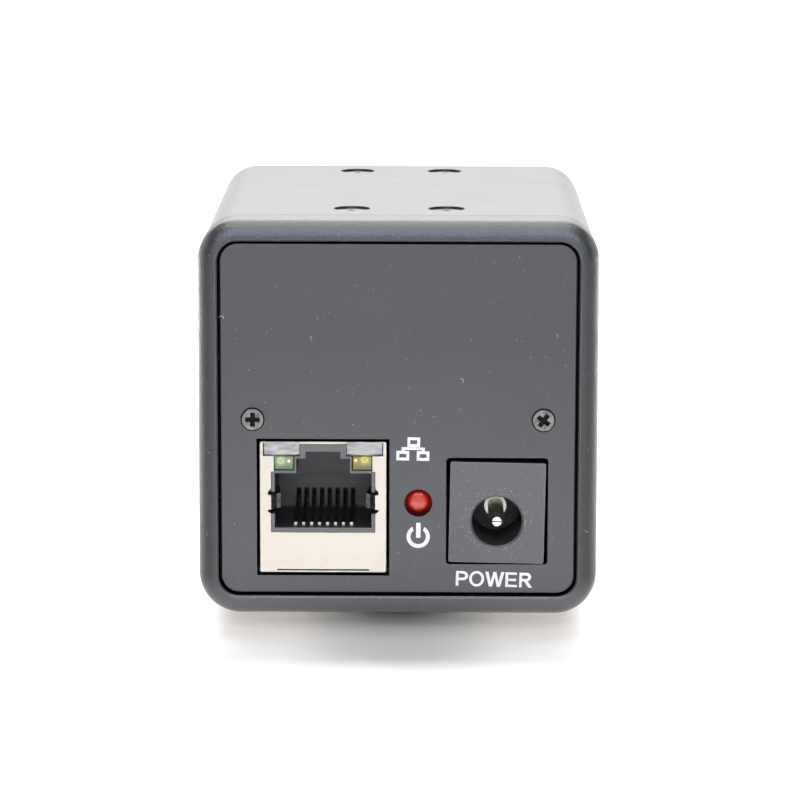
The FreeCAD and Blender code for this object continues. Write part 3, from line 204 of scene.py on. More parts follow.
def close_finish(tree, inputs):
    """Ends a material's tree with its surface."""
    surface = add(tree, "ShaderNodeBsdfPrincipled", inputs)
    add(tree, "ShaderNodeOutputMaterial", {"Surface": surface.outputs["BSDF"]})


def painted_shade_behind(face, *painted_shades):
    """Painted shade at depths behind a face. Each tone of it is given with its depth in millimetres."""
    return [(face + depth * MM, colour) for depth, colour in painted_shades]


def painted_depth_shade(tree, place, colour, painted_shades, half=None):
    """Paints shade into a colour: darkens it with the distance behind the rear, where less light gets in. With
    a half width, only inside that square about the lens axis."""
    first, last = painted_shades[0][0], painted_shades[-1][0]
    depth = ranged(tree, axes(tree, place)["Y"], first, last)
    tone = ramp(tree, depth, [((at - first) / (last - first), linear(shade)) for at, shade in painted_shades])
    share = 1.0
    if half is not None:
        from_axis = vector_math(tree, "ADD", place, (0, 0, -LENS_AXIS))
        sides = axes(tree, vector_math(tree, "ABSOLUTE", from_axis))
        wider = number_math(tree, "MAXIMUM", sides["X"], sides["Z"])
        share = number_math(tree, "LESS_THAN", wider, half)
    return mixed(tree, share, colour, tone, "MULTIPLY")


def anodised(name, colour, worn, roughness, grain, relief, edge, painted_shades=None, half=None, joint=None,
             edge_highlight="#3a3a3c", lower_painted_light=None):
    """Black anodised aluminium: the clear oxide film over the black dye gives it a satin shine with a fine
    blasted grain, and rubbed places are a little paler. Its edges are paler as a painted highlight. The lower
    painted light is a paler colour that lightens the lower part as painted light, with the heights between
    which it comes in. The real grain of some hundredths of a millimetre is drawn coarser, because it wouldn't
    show."""
    material, tree, place = blank_finish(name)
    grit = noise(tree, place, grain, detail=2.0)
    rubbed = noise(tree, place, grain=9 * MM, detail=5.0, roughness=0.6)
    shade = mixed(tree, rubbed, linear(colour), linear(worn))
    # Painted light: the lower part gets a paler colour between the given heights
    if lower_painted_light:
        paler, start, end = lower_painted_light
        shade = mixed(tree, ranged(tree, axes(tree, place)["Z"], start, end), shade, linear(paler))
    # Painted highlight: the edges get the paler edge colour
    shade = mixed(tree, edge_highlight_and_burr(tree, radius=0.2 * MM, begins=0.995, full=0.9), shade, linear(edge_highlight))
    uneven = 0.03
    surface = {"Base Color": shade, "IOR": 1.7,
               "Roughness": ranged(tree, rubbed, low=roughness - uneven, high=roughness + uneven),
               "Normal": bumpy(tree, grit, relief, grain / 4, edge)}
    # Painted shade in recesses, on the colour and on the sheen
    if painted_shades:
        surface["Base Color"] = painted_depth_shade(tree, place, shade, painted_shades, half)
        surface["Specular Tint"] = painted_depth_shade(tree, place, linear(WHITE), painted_shades, half)
    # Painted shadow at the joint, on the colour and on the sheen
    if joint:
        for socket in ("Base Color", "Specular Tint"):
            surface[socket] = painted_depth_shade(tree, place, surface[socket], joint)
    close_finish(tree, surface)
    return material


def nickel_sheet(name, colour, dull, bent, bent_dull, burr, painted_shades):
    """Nickel plated sheet steel: bright and even on its face, and dull along its cut edges. The faces turned
    away from the rear, such as the bent tabs, get a greyer mottled colour as painted shade."""
    material, tree, place = blank_finish(name)
    lines = noise(tree, stretched(tree, place, (0.05, 1.0, 1.0)), grain=0.4 * MM, detail=3.0)
    patches = noise(tree, place, grain=2.5 * MM, detail=4.0)
    mottle = noise(tree, stretched(tree, place, (0.5, 1.0, 1.6)), grain=0.9 * MM, detail=3.0)
    blotch = ranged(tree, mottle, start=0.35, end=0.65)
    # Painted shade: faces turned away from the rear get the darker bent colours
    facing = axes(tree, add(tree, "ShaderNodeNewGeometry").outputs["True Normal"])["Y"]
    turned_away = ranged(tree, facing, start=-0.998, end=-0.985)
    face = mixed(tree, patches, linear(colour), linear(dull))
    tab_painted_shade = mixed(tree, blotch, linear(bent), linear(bent_dull))
    shade = mixed(tree, turned_away, face, tab_painted_shade)
    cut = number_math(tree, "MULTIPLY", edge_highlight_and_burr(tree, radius=0.14 * MM, begins=0.99, full=0.85), blotch)
    shade = mixed(tree, cut, shade, linear(burr))
    close_finish(tree, {"Base Color": painted_depth_shade(tree, place, shade, painted_shades), "Metallic": 1.0,
                        "Roughness": ranged(tree, lines, low=0.24, high=0.38),
                        "Normal": bumpy(tree, lines, strength=0.05, distance=0.05 * MM, edge=0.05 * MM)})
    return material


def drawn_metal(name, colour, dull, roughness, line=0.2 * MM, painted_shades=None):
    """Plated or bare metal with the faint lines of the tool or the rolling mill, and duller patches."""
    material, tree, place = blank_finish(name)
    lines = noise(tree, place, line, detail=3.0)
    patches = noise(tree, place, grain=4 * line, detail=4.0)
    shade = mixed(tree, ranged(tree, patches, start=0.3, end=0.7), linear(colour), linear(dull))
    # Painted shade in recesses, when given
    if painted_shades:
        shade = painted_depth_shade(tree, place, shade, painted_shades)
    close_finish(tree, {"Base Color": shade, "Metallic": 1.0,
                        "Roughness": ranged(tree, lines, low=roughness * 0.75, high=roughness * 1.3),
                        "Normal": bumpy(tree, lines, strength=0.06, distance=line / 8, edge=0.05 * MM)})
    return material


def moulded_plastic(name, colour, pale, roughness, grain, painted_shades=None):
    """Moulded plastic: an even colour with the fine spark texture of its mould, and paler edges as a painted
    highlight.
    """
    material, tree, place = blank_finish(name)
    spark = noise(tree, place, grain, detail=3.0)
    cloud = noise(tree, place, grain=3 * MM, detail=3.0)
    shade = mixed(tree, cloud, linear(colour), linear(pale))
    # Painted highlight along the edges
    shade = mixed(tree, edge_highlight_and_burr(tree, radius=0.16 * MM, begins=0.995, full=0.9), shade, linear("#8a8b8d"))
    # Painted shade in recesses, when given
    if painted_shades:
        shade = painted_depth_shade(tree, place, shade, painted_shades)
    uneven = 0.06
    close_finish(tree, {"Base Color": shade, "IOR": 1.53,
                        "Roughness": ranged(tree, spark, low=roughness - uneven, high=roughness + uneven),
                        "Normal": bumpy(tree, spark, strength=0.2, distance=grain / 6, edge=0.06 * MM)})
    return material


# How bright the ring in a jack lamp is, by the distance from its middle in millimetres
LAMP_RING = [(0.0, 0.9), (0.14, 0.15), (0.32, 0.85), (0.48, 0.25), (0.9, 0.0), (1.0, 0.0)]


def jack_lamp(name, node, top, ring, low, glint_colour, ring_at, glint_at):
    """Clear tinted epoxy over a small die: a pale cup with a ring, a painted glint, and a darker lower part as
    painted shade. The ring and the glint are placed in millimetres."""
    material, tree, place = blank_finish(name)
    low_corner, high_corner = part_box(node)
    height = ranged(tree, axes(tree, place)["Z"], low_corner.z, high_corner.z)
    # Painted shade: the lower part gets the darker low colour
    body = ramp(tree, height, [(0.25, linear(low)), (0.5, linear(top))])
    flat = flattened(tree, place)
    from_ring = vector_math(tree, "DISTANCE", flat, Vector((ring_at[0], 0, ring_at[1])) * MM)
    from_glint = vector_math(tree, "DISTANCE", flat, Vector((glint_at[0], 0, glint_at[1])) * MM)
    cup = ramp(tree, number_math(tree, "MULTIPLY", from_ring, 1 / MM),
               [(position, (level, level, level, 1)) for position, level in LAMP_RING])
    # Painted highlight: a small glint of the given colour
    glint = ranged(tree, from_glint, start=0.1 * MM, end=0.26 * MM, low=1.0, high=0.0)
    shade = mixed(tree, glint, mixed(tree, cup, body, linear(ring)), linear(glint_colour))
    close_finish(tree, {"Base Color": shade, "Roughness": 0.2, "IOR": 1.55, "Emission Color": shade,
                        "Emission Strength": 0.08})
    return material


def red_lamp(name, node):
    """Red tinted epoxy lamp: a glossy dome, deep red at its rim, with paler blotches below its middle as
    painted light and its sides behind the dome darkened as painted shade. The part of it that is inside the
    housing glows more."""
    material, tree, place = blank_finish(name)
    middle = middle_of(node)
    away = vector_math(tree, "DISTANCE", flattened(tree, place), middle)
    apart = axes(tree, place)
    blotch = noise(tree, place, grain=0.5 * MM, detail=3.0)
    # Painted light: paler blotches below the middle of the dome
    lower = ranged(tree, apart["Z"], start=middle.z + 0.1 * MM, end=middle.z - 0.3 * MM)
    lamp_lower_painted_light = number_math(tree, "MULTIPLY", lower, blotch)
    rim = ranged(tree, away, start=0.95 * MM, end=1.3 * MM)
    heart = mixed(tree, lamp_lower_painted_light, linear("#c83016"), linear("#da7460"))
    shade = mixed(tree, rim, heart, linear("#b01408"))
    # Painted shade on the sides behind the dome
    dome_painted_shade = painted_shade_behind(rear_of(node), (0, WHITE), (0.4, WHITE), (0.7, "#3c3c3c"))
    glow = ranged(tree, apart["Y"], start=PLATE_FACE + 2.0 * MM, end=PLATE_FACE + 2.2 * MM, low=0.08, high=1.5)
    close_finish(tree, {"Base Color": painted_depth_shade(tree, place, shade, dome_painted_shade), "Roughness": 0.16, "IOR": 1.55,
                        "Emission Color": linear("#d8301c"), "Emission Strength": glow})
    return material


def green_board(name):
    """Solder mask on glass fibre board: deep green, glossy, with the fibre weave just showing."""
    material, tree, place = blank_finish(name)
    weave = add(tree, "ShaderNodeTexWave", {"Vector": place, "Scale": 1 / (10 * MM),
                                            "Distortion": 1.0}).outputs["Fac"]
    shade = mixed(tree, weave, linear("#0d3b22"), linear("#14482b"))
    bumps = add(tree, "ShaderNodeBump", {"Height": weave, "Strength": 0.1, "Distance": 0.02 * MM})
    close_finish(tree, {"Base Color": shade, "Roughness": 0.3, "IOR": 1.5, "Normal": bumps.outputs["Normal"]})
    return material


def coated_glass(name, tint, film):
    """Polished glass with an anti-reflection film, so many nanometres thick, which reflects a faint purple or
    green."""
    material, tree, place = blank_finish(name)
    haze = noise(tree, place, grain=4 * MM, detail=4.0)
    close_finish(tree, {"Base Color": linear(tint), "Roughness": ranged(tree, haze, low=0.01, high=0.05),
                        "IOR": 1.6, "Transmission Weight": 1.0, "Thin Film Thickness": film,
                        "Thin Film IOR": 1.38})
    return material


def mottled_matt(name, colour, other, grain, roughness):
    """Matt, opaque and a little uneven: printing ink, dust or lint."""
    material, tree, place = blank_finish(name)
    shade = mixed(tree, noise(tree, place, grain, detail=2.0), linear(colour), linear(other))
    close_finish(tree, {"Base Color": shade, "Roughness": roughness, "IOR": 1.5})
    return material


# Painted shade: how the recesses are darkened with their depth, where less light gets in
# Painted shade on the walls just behind the plate face
plate_painted_shade = painted_shade_behind(PLATE_FACE, (0, WHITE), (0.03, WHITE), (0.12, "#505050"))
# Painted shade in the groove round the plate
groove_painted_shade = painted_shade_behind(PLATE_FACE, (-0.6, WHITE), (-0.3, "#bcbcbc"), (0, "#505050"))
# Painted shadow at the joint between the frame and the sleeve
joint_painted_shadow = painted_shade_behind(JOINT, (-0.7, WHITE), (-0.4, "#909090"), (0, "#707070"))
# Painted shade on the jack's spring fingers behind its face
finger_painted_shade = painted_shade_behind(SHELL_FACE, (0, WHITE), (0.5, WHITE), (1.0, "#a0a0a0"))
# Painted shade in the jack's cavity, left lighter in bands at its back as painted light on the back wall and
# comb
insert_painted_light_and_shade = painted_shade_behind(
    SHELL_FACE, (0, "#c4c4c4"), (0.1, "#c4c4c4"), (0.3, "#585858"), (3.0, "#383838"), (11.5, "#484848"),
    (12.4, "#c6c6c6"), (12.7, "#c6c6c6"), (13.4, "#d8d8d8"), (13.6, "#d8d8d8"), (13.9, "#707070"))
# Painted shade inside the power jack's bore
bore_painted_shade = painted_shade_behind(JACK_FACE, (0, WHITE), (0.25, "#dadada"), (0.5, "#888888"), (5.0, "#747474"))
# Painted shade in the screws' cross recesses
recess_painted_shade = painted_shade_behind(SCREW_FACE, (0, WHITE), (0.1, WHITE), (0.2, "#898989"), (0.55, "#464646"))
# Painted shade along the contact wires, which leaves only their tips bright
wire_painted_shade = painted_shade_behind(CONTACT_TIP, (0, WHITE), (0.08, WHITE), (0.3, "#303030"))

# The frame: painted shade in its groove, painted shadow at its joint, a painted highlight on its edges and
# painted light on its lower rim
frame_coat = anodised(
    "black anodised aluminium, fine blasted", "#1a1a1c", "#202022", roughness=0.36, grain=0.3 * MM, relief=1.0,
    edge=0.05 * MM, painted_shades=groove_painted_shade, half=OPENING_HALF, joint=joint_painted_shadow, edge_highlight="#77777a",
    lower_painted_light=("#525255", LENS_AXIS - 20 * MM, LENS_AXIS - 24 * MM))
# The plate: painted shade behind its face, a painted highlight on its edges and painted light on its lower part
plate_coat = anodised(
    "black anodised sheet, matt", "#242325", "#2d2c2e", roughness=0.45, grain=0.3 * MM, relief=0.06,
    edge=0.05 * MM, painted_shades=plate_painted_shade, lower_painted_light=("#424143", LENS_AXIS + 10 * MM, LENS_AXIS - 18 * MM))
sleeve_coat = anodised("black anodised extrusion, smooth", "#0f0f11", "#151517", roughness=0.30,
                       grain=0.16 * MM, relief=0.05, edge=0.1 * MM)
# Painted light: the block gets a much paler colour than the other black anodised parts, to look lit
block_coat = anodised("black anodised block, painted lighter, matt", "#47474a", "#505053", roughness=0.6,
                      grain=0.3 * MM, relief=0.2, edge=0.1 * MM)
mount_coat = anodised("black anodised mount ring", "#0d0d0f", "#131315", roughness=0.34,
                      grain=0.15 * MM, relief=0.08, edge=0.08 * MM)
lens_coat = anodised("black anodised turned barrel", "#0c0c0e", "#121214", roughness=0.36,
                     grain=0.15 * MM, relief=0.08, edge=0.08 * MM)
# The bent colours are painted shade on the tabs, and the fingers get painted shade behind the face
shell_metal = nickel_sheet("nickel plated sheet steel", "#c6bfb5", "#c0b9ae", bent="#abaaa9",
                           bent_dull="#868483", burr="#6f6a62", painted_shades=finger_painted_shade)
screw_metal = drawn_metal("nickel plated screw steel", "#b0aba1", "#88837a", roughness=0.28)
dark_screw_metal = drawn_metal("burnished screw steel", "#8d8b88", "#5c5a57", roughness=0.36,
                               painted_shades=recess_painted_shade)
contact_metal = drawn_metal("gold plated bronze, worn pale", "#fffaf0", "#fbf0dc", roughness=0.4,
                            painted_shades=wire_painted_shade)
pin_metal = drawn_metal("nickel plated brass", "#ece8df", "#dbd6ca", roughness=0.3)
spring_metal = drawn_metal("tarnished phosphor bronze", "#4a3a28", "#3a2c1e", roughness=0.4)
insert_brass = drawn_metal("turned brass", "#d0a950", "#b8903c", roughness=0.25)
can_metal = drawn_metal("drawn aluminium can", "#d3d5d8", "#bfc2c6", roughness=0.3, line=0.3 * MM)
jack_plastic = moulded_plastic("glass filled nylon, dark grey", "#848385", "#8e8d8f", roughness=0.5,
                               grain=0.15 * MM, painted_shades=insert_painted_light_and_shade)
power_plastic = moulded_plastic("satin black moulded polyester", "#5a5b5d", "#636466", roughness=0.48,
                                grain=0.18 * MM, painted_shades=bore_painted_shade)
holder_plastic = moulded_plastic("black lamp holder plastic", "#1a1a1c", "#222224", roughness=0.5,
                                 grain=0.18 * MM)
chip_plastic = moulded_plastic("black epoxy chip package", "#16161a", "#1e1e22", roughness=0.5, grain=0.12 * MM)
ferrite = moulded_plastic("grey ferrite and tape", "#33353a", "#41434a", roughness=0.55, grain=0.2 * MM)
flex_film = moulded_plastic("amber polyimide film", "#a8641c", "#b97626", roughness=0.3, grain=0.3 * MM)
filter_plastic = moulded_plastic("matt black holder plastic", "#141416", "#1b1b1e", roughness=0.65,
                                 grain=0.12 * MM)
board_mask = green_board("green solder mask on glass fibre")
# Each lamp gets a painted glint and painted shade on its lower part
green_lens = jack_lamp("green tinted lamp epoxy", "link_led", top="#7f9162", ring="#cfe0a8",
                       low="#5f7862", glint_colour="#f4ffe0", ring_at=(-14.86, 22.35), glint_at=(-13.84, 22.3))
yellow_lens = jack_lamp("yellow tinted lamp epoxy", "activity_led", top="#918a37", ring="#e4da80",
                        low="#75724a", glint_colour="#f8f6c0", ring_at=(-4.22, 22.5), glint_at=(-5.36, 22.4))
red_lens = red_lamp("red tinted lamp epoxy", "power_led")
lens_glass = coated_glass("coated optical glass", "#f4f7f8", film=380.0)
filter_glass = coated_glass("blue green filter glass", "#bfe6ea", film=450.0)
sensor_glass = coated_glass("sensor cover glass", "#c9cfd6", film=300.0)
print_ink = mottled_matt("white screen print ink", WHITE, "#f6f6f8", grain=0.3 * MM, roughness=0.5)
dust_grey = mottled_matt("pale house dust", "#f6f6f6", "#dededf", grain=0.1 * MM, roughness=0.9)

# Which pieces wear which finish
WEARS = {
    frame_coat: ["rear_frame"],
    plate_coat: ["rear_plate"],
    sleeve_coat: ["housing_sleeve", "front_cover"],
    block_coat: ["tripod_block"],
    shell_metal: ["ethernet_shell"],
    screw_metal: ["sleeve_screws", "tripod_block_screws", "io_board_screws", "sensor_board_screws",
                  "lens_mount_screws", "focus_lock_screw"],
    dark_screw_metal: ["rear_plate_screws"],
    contact_metal: ["ethernet_contacts"],
    pin_metal: ["dc_jack_pin", "power_led_leads"],
    spring_metal: ["dc_jack_spring"],
    insert_brass: ["tripod_insert"],
    can_metal: ["poe_capacitor"],
    jack_plastic: ["ethernet_insert"],
    power_plastic: ["dc_jack_body"],
    holder_plastic: ["power_led_holder"],
    chip_plastic: ["processor", "flex_connectors"],
    ferrite: ["poe_transformer"],
    flex_film: ["flex_cable"],
    filter_plastic: ["filter_holder"],
    board_mask: ["io_board", "sensor_board"],
    mount_coat: ["lens_mount"],
    lens_coat: ["lens_barrel", "focus_ring", "lens_cell", "front_element_ring", "rear_element_ring",
                "aperture_disc"],
    green_lens: ["link_led"],
    yellow_lens: ["activity_led"],
    red_lens: ["power_led"],
    lens_glass: ["front_element", "rear_element"],
    filter_glass: ["ir_cut_filter"],
    sensor_glass: ["image_sensor"],
}
for material, names in WEARS.items():
    for name in names:
        nodes[name].material_slots[0].material = material


# White printing on the rear plate, drawn in millimetres with x right and y up

INK = 0.012 * MM
ARC_STEPS = 40


def printed(name, loops, turn, about):
    """Lays a flat print on the plate, turned some degrees about a point. A loop inside another is a hole."""
    curve = bpy.data.curves.new(name, "CURVE")
    curve.dimensions = "2D"
    curve.fill_mode = "BOTH"
    curve.extrude = INK / MM
    for loop in loops:
        spline = curve.splines.new("POLY")
        spline.points.add(len(loop) - 1)
        for point, (x, y) in zip(spline.points, loop):
            point.co = (x, y, 0, 1)
        spline.use_cyclic_u = True
    mesh = finished_mesh(placed(name, curve), name)
    middle = Vector((about[0], about[1], 0))
    turned = Matrix.Rotation(-math.radians(turn), 4, "Z")
    lean = Matrix.Translation(middle) @ turned @ Matrix.Translation(-middle)
    stand = Matrix.Translation((0, PLATE_FACE - INK, 0)) @ Matrix.Rotation(math.pi / 2, 4, "X")
    mesh.transform(stand @ Matrix.Scale(MM, 4) @ lean)
    mesh.materials.clear()
    mesh.materials.append(print_ink)
    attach(placed(name, mesh), "housing")


def box_loop(left, right, low, high):
    """The corners of an upright rectangle."""
    return [(left, low), (right, low), (right, high), (left, high)]


def box_frame(left, right, low, high, line):
    """A rectangle drawn with a line."""
    return [box_loop(left, right, low, high), box_loop(left + line, right - line, low + line, high - line)]


def arc(middle, across, up, start, end):
    """Points on an ellipse, with angles in degrees clockwise from the top."""
    steps = [math.radians(start + (end - start) * i / ARC_STEPS) for i in range(ARC_STEPS + 1)]
    return [(middle[0] + across * math.sin(step), middle[1] + up * math.cos(step)) for step in steps]


NETWORK_LINE = 0.37
BUS_LOW, BUS_HIGH = 23.82, 24.16
LEG_FOOT, TRUNK_TOP = 23.69, 24.20
LEFT_LEG, RIGHT_LEG, TRUNK = (0.46, 0.86), (3.01, 3.41), (1.75, 2.21)
network_loops = box_frame(left=1.18, right=2.78, low=24.21, high=25.46, line=NETWORK_LINE)
for left, right in ((-0.19, 1.43), (2.40, 4.00)):
    network_loops += box_frame(left, right, low=22.45, high=23.68, line=NETWORK_LINE)
network_loops.append([
    (LEFT_LEG[0], LEG_FOOT), (LEFT_LEG[1], LEG_FOOT), (LEFT_LEG[1], BUS_LOW), (RIGHT_LEG[0], BUS_LOW),
    (RIGHT_LEG[0], LEG_FOOT), (RIGHT_LEG[1], LEG_FOOT), (RIGHT_LEG[1], BUS_HIGH), (TRUNK[1], BUS_HIGH),
    (TRUNK[1], TRUNK_TOP), (TRUNK[0], TRUNK_TOP), (TRUNK[0], BUS_HIGH), (LEFT_LEG[0], BUS_HIGH)])
printed("network_symbol", network_loops, turn=1.0, about=(1.9, 23.9))

POWER_CENTRE = (2.60, 12.58)
POWER_OUTSIDE, POWER_INSIDE = 1.49, 0.98
OUTSIDE_GAP, INSIDE_GAP = 31, 37
power_ring = arc(POWER_CENTRE, POWER_OUTSIDE, POWER_OUTSIDE, OUTSIDE_GAP, 360 - OUTSIDE_GAP)
power_ring += arc(POWER_CENTRE, POWER_INSIDE, POWER_INSIDE, 360 - INSIDE_GAP, INSIDE_GAP)
power_bar = box_loop(left=2.32, right=2.89, low=12.42, high=14.38)
printed("power_symbol", [power_ring, power_bar], turn=0.5, about=POWER_CENTRE)

CAP = 1.93
STEM = 0.345
BAR = 0.31
P_WAIST = 0.72
letter_p = [[(0, 0), (STEM, 0), (STEM, P_WAIST)]
            + arc((0.90, 1.325), across=0.64, up=0.605, start=180, end=0) + [(0, CAP)],
            [(STEM, P_WAIST + BAR)]
            + arc((0.88, 1.325), across=0.27, up=0.245, start=180, end=0) + [(STEM, CAP - BAR)]]
O_MIDDLE = (2.62, 0.965)
O_END = 351
letter_o = [arc(O_MIDDLE, across=0.95, up=1.02, start=0, end=O_END),
            arc(O_MIDDLE, across=0.605, up=0.70, start=0, end=O_END)]
W_DIP, W_PEAK = 0.62, 1.28
letter_w = [[(3.68, CAP), (4.09, CAP), (4.41, W_DIP), (4.69, CAP), (5.09, CAP), (5.38, W_DIP), (5.69, CAP),
             (6.10, CAP), (5.60, 0), (5.17, 0), (4.89, W_PEAK), (4.60, 0), (4.18, 0)]]
E_LEFT, E_WAIST = 6.24, 0.80
E_FOOT, E_ARM, E_HEAD = 7.72, 7.60, 7.67
letter_e = [[(E_LEFT, 0), (E_FOOT, 0), (E_FOOT, BAR), (E_LEFT + STEM, BAR), (E_LEFT + STEM, E_WAIST),
             (E_ARM, E_WAIST), (E_ARM, E_WAIST + BAR), (E_LEFT + STEM, E_WAIST + BAR),
             (E_LEFT + STEM, CAP - BAR), (E_HEAD, CAP - BAR), (E_HEAD, CAP), (E_LEFT, CAP)]]
R_LEFT, R_WAIST = 7.99, 0.80
R_LEG_TOP, R_LEG_ROOT = (8.58, R_WAIST), (9.05, 0.84)
R_FOOT_LEFT, R_FOOT_RIGHT = 9.17, 9.66
R_HOLE_LOW, R_HOLE_HIGH = 1.14, 1.57
letter_r = [[(R_LEFT, 0), (R_LEFT + STEM, 0), (R_LEFT + STEM, R_WAIST), R_LEG_TOP, (R_FOOT_LEFT, 0),
             (R_FOOT_RIGHT, 0), R_LEG_ROOT]
            + arc((8.90, 1.375), across=0.58, up=0.555, start=165, end=0) + [(R_LEFT, CAP)],
            [(R_LEFT + STEM, R_HOLE_LOW)]
            + arc((8.86, 1.355), across=0.24, up=0.215, start=180, end=0) + [(R_LEFT + STEM, R_HOLE_HIGH)]]
WORD_CORNER = (7.42, 6.08)
WORD_STRETCH = 1.012
printed("power_word", [[(x * WORD_STRETCH + WORD_CORNER[0], y + WORD_CORNER[1]) for x, y in loop]
                       for letter in (letter_p, letter_o, letter_w, letter_e, letter_r) for loop in letter],
        turn=1.5, about=(12.2, 7.0))


# Dust and lint, scattered by geometry nodes over the faces that look to the rear

REARWARD = -0.9
JOIN_DISTANCE = 0.001 * MM
SMALLEST = 0.35
FIBRE_RADIUS = 0.019 * MM
# The start, bend and end of a fibre of size 1
FIBRE_POINTS = ((-0.5, -0.2, 0.02), (0.1, 0.75, 0.02), (0.5, -0.1, 0.02))
# The sockets of a random number go by number too, since those of a random vector have the same names
RANDOM_MIN, RANDOM_MAX, RANDOM_RESULT = 2, 3, 1


def compared(tree, value, operation, limit):
    """Whether a number is on one side of a limit."""
    return add(tree, "FunctionNodeCompare", {"A": value, "B": limit}, operation=operation).outputs["Result"]


def both(tree, first, second):
    """Whether two things are so."""
    return add(tree, "FunctionNodeBooleanMath", {0: first, 1: second}).outputs["Boolean"]


def scatter_tree(name, shape):
    """Scatters small things over the rear faces, in a ring about a point and behind a depth. The shape function
    adds the thing."""
    tree = bpy.data.node_groups.new(name, "GeometryNodeTree")
    for label, kind in (("Geometry", "Geometry"), ("Density", "Float"), ("Seed", "Int"), ("Size", "Float"),
                        ("Middle", "Vector"), ("Inner", "Float"), ("Outer", "Float"), ("Front", "Float"),
                        ("Material", "Material")):
        tree.interface.new_socket(label, in_out="INPUT", socket_type="NodeSocket" + kind)
    tree.interface.new_socket("Geometry", in_out="OUTPUT", socket_type="NodeSocketGeometry")
    given = add(tree, "NodeGroupInput").outputs
    facing = axes(tree, add(tree, "GeometryNodeInputNormal").outputs["Normal"])["Y"]
    joined = add(tree, "GeometryNodeMergeByDistance", {
        "Geometry": given["Geometry"], "Distance": JOIN_DISTANCE})
    points = add(tree, "GeometryNodeDistributePointsOnFaces", {
        "Mesh": joined.outputs["Geometry"], "Selection": compared(tree, facing, "LESS_THAN", REARWARD),
        "Density": given["Density"], "Seed": given["Seed"]})
    place = add(tree, "GeometryNodeInputPosition").outputs["Position"]
    away = vector_math(tree, "DISTANCE", flattened(tree, place), given["Middle"])
    in_ring = both(tree, compared(tree, away, "GREATER_THAN", given["Inner"]),
                   compared(tree, away, "LESS_THAN", given["Outer"]))
    behind = compared(tree, axes(tree, place)["Y"], "GREATER_THAN", given["Front"])
    scale = add(tree, "FunctionNodeRandomValue", {
        RANDOM_MIN: SMALLEST, RANDOM_MAX: 1.0, "Seed": given["Seed"]}, data_type="FLOAT")
    spin = add(tree, "FunctionNodeRandomValue", {
        "Min": (0, 0, 0), "Max": (0, 0, 2 * math.pi), "Seed": given["Seed"]}, data_type="FLOAT_VECTOR")
    turned = add(tree, "FunctionNodeRotateRotation", {
        "Rotation": points.outputs["Rotation"], "Rotate By": spin.outputs["Value"]}, rotation_space="LOCAL")
    things = add(tree, "GeometryNodeInstanceOnPoints", {
        "Points": points.outputs["Points"], "Selection": both(tree, in_ring, behind),
        "Instance": shape(tree, given["Size"]), "Rotation": turned.outputs["Rotation"],
        "Scale": scale.outputs[RANDOM_RESULT]})
    real = add(tree, "GeometryNodeRealizeInstances", {"Geometry": things.outputs["Instances"]})
    coated = add(tree, "GeometryNodeSetMaterial", {"Geometry": real.outputs["Geometry"],
                                                   "Material": given["Material"]})
    add(tree, "NodeGroupOutput", {"Geometry": coated.outputs["Geometry"]})
    return tree


def speck(tree, size):
    """A grain of dust."""
    return add(tree, "GeometryNodeMeshIcoSphere", {"Radius": size, "Subdivisions": 1}).outputs["Mesh"]


def fibre(tree, size):
    """A bent fibre that lies flat."""
    start, bend, end = [
        add(tree, "ShaderNodeVectorMath", {0: point, "Scale": size}, operation="SCALE").outputs["Vector"]
        for point in FIBRE_POINTS]
    path = add(tree, "GeometryNodeCurveQuadraticBezier", {
        "Start": start, "Middle": bend, "End": end, "Resolution": 10})
    section = add(tree, "GeometryNodeCurvePrimitiveCircle", {"Radius": FIBRE_RADIUS, "Resolution": 6})
    return add(tree, "GeometryNodeCurveToMesh", {
        "Curve": path.outputs["Curve"], "Profile Curve": section.outputs["Curve"]}).outputs["Mesh"]


PER_SQUARE_MM = 1e6
EVERYWHERE = (0, 1.0)
ABOUT_BORE = (3.45 * MM, 4.5 * MM)
# Dust keeps this far behind the rearmost rim, so that none of it stands past the part
RIM_CLEARANCE = 0.12 * MM
bore_middle = tuple(middle_of("dc_jack_pin"))
dust_tree = scatter_tree("settled dust", speck)
lint_tree = scatter_tree("settled lint", fibre)

# What is scattered where: node, tree, number on a square millimetre, seed, size, and ring about the bore
SCATTER = [
    ("rear_plate", dust_tree, 0.025, 3, 0.055 * MM, EVERYWHERE),
    ("rear_plate", dust_tree, 0.09, 4, 0.04 * MM, EVERYWHERE),
    ("rear_plate", lint_tree, 0.003, 17, 0.7 * MM, EVERYWHERE),
    ("rear_frame", dust_tree, 0.15, 14, 0.05 * MM, EVERYWHERE),
    ("rear_frame", lint_tree, 0.014, 21, 0.8 * MM, EVERYWHERE),
    ("dc_jack_body", dust_tree, 0.4, 5, 0.05 * MM, EVERYWHERE),
    ("dc_jack_body", dust_tree, 5.0, 8, 0.055 * MM, ABOUT_BORE),
    ("ethernet_insert", dust_tree, 0.5, 9, 0.04 * MM, EVERYWHERE),
]
corners = []
faces = []
for node, tree, density, seed, size, ring in SCATTER:
    carrier = placed("dust carrier", nodes[node].data.copy())
    scatter = carrier.modifiers.new("scatter", "NODES")
    scatter.node_group = tree
    values = {"Density": density * PER_SQUARE_MM, "Seed": seed, "Size": size, "Middle": bore_middle,
              "Inner": ring[0], "Outer": ring[1], "Front": cad_box[0].y + RIM_CLEARANCE, "Material": dust_grey}
    for socket in tree.interface.items_tree:
        if socket.in_out == "INPUT" and socket.name in values:
            scatter[socket.identifier] = values[socket.name]
    mesh = finished_mesh(carrier, "dust")
    faces += [[len(corners) + index for index in polygon.vertices] for polygon in mesh.polygons]
    corners += [nodes[node].matrix_world @ vertex.co for vertex in mesh.vertices]
dust_mesh = bpy.data.meshes.new("rear_dust")
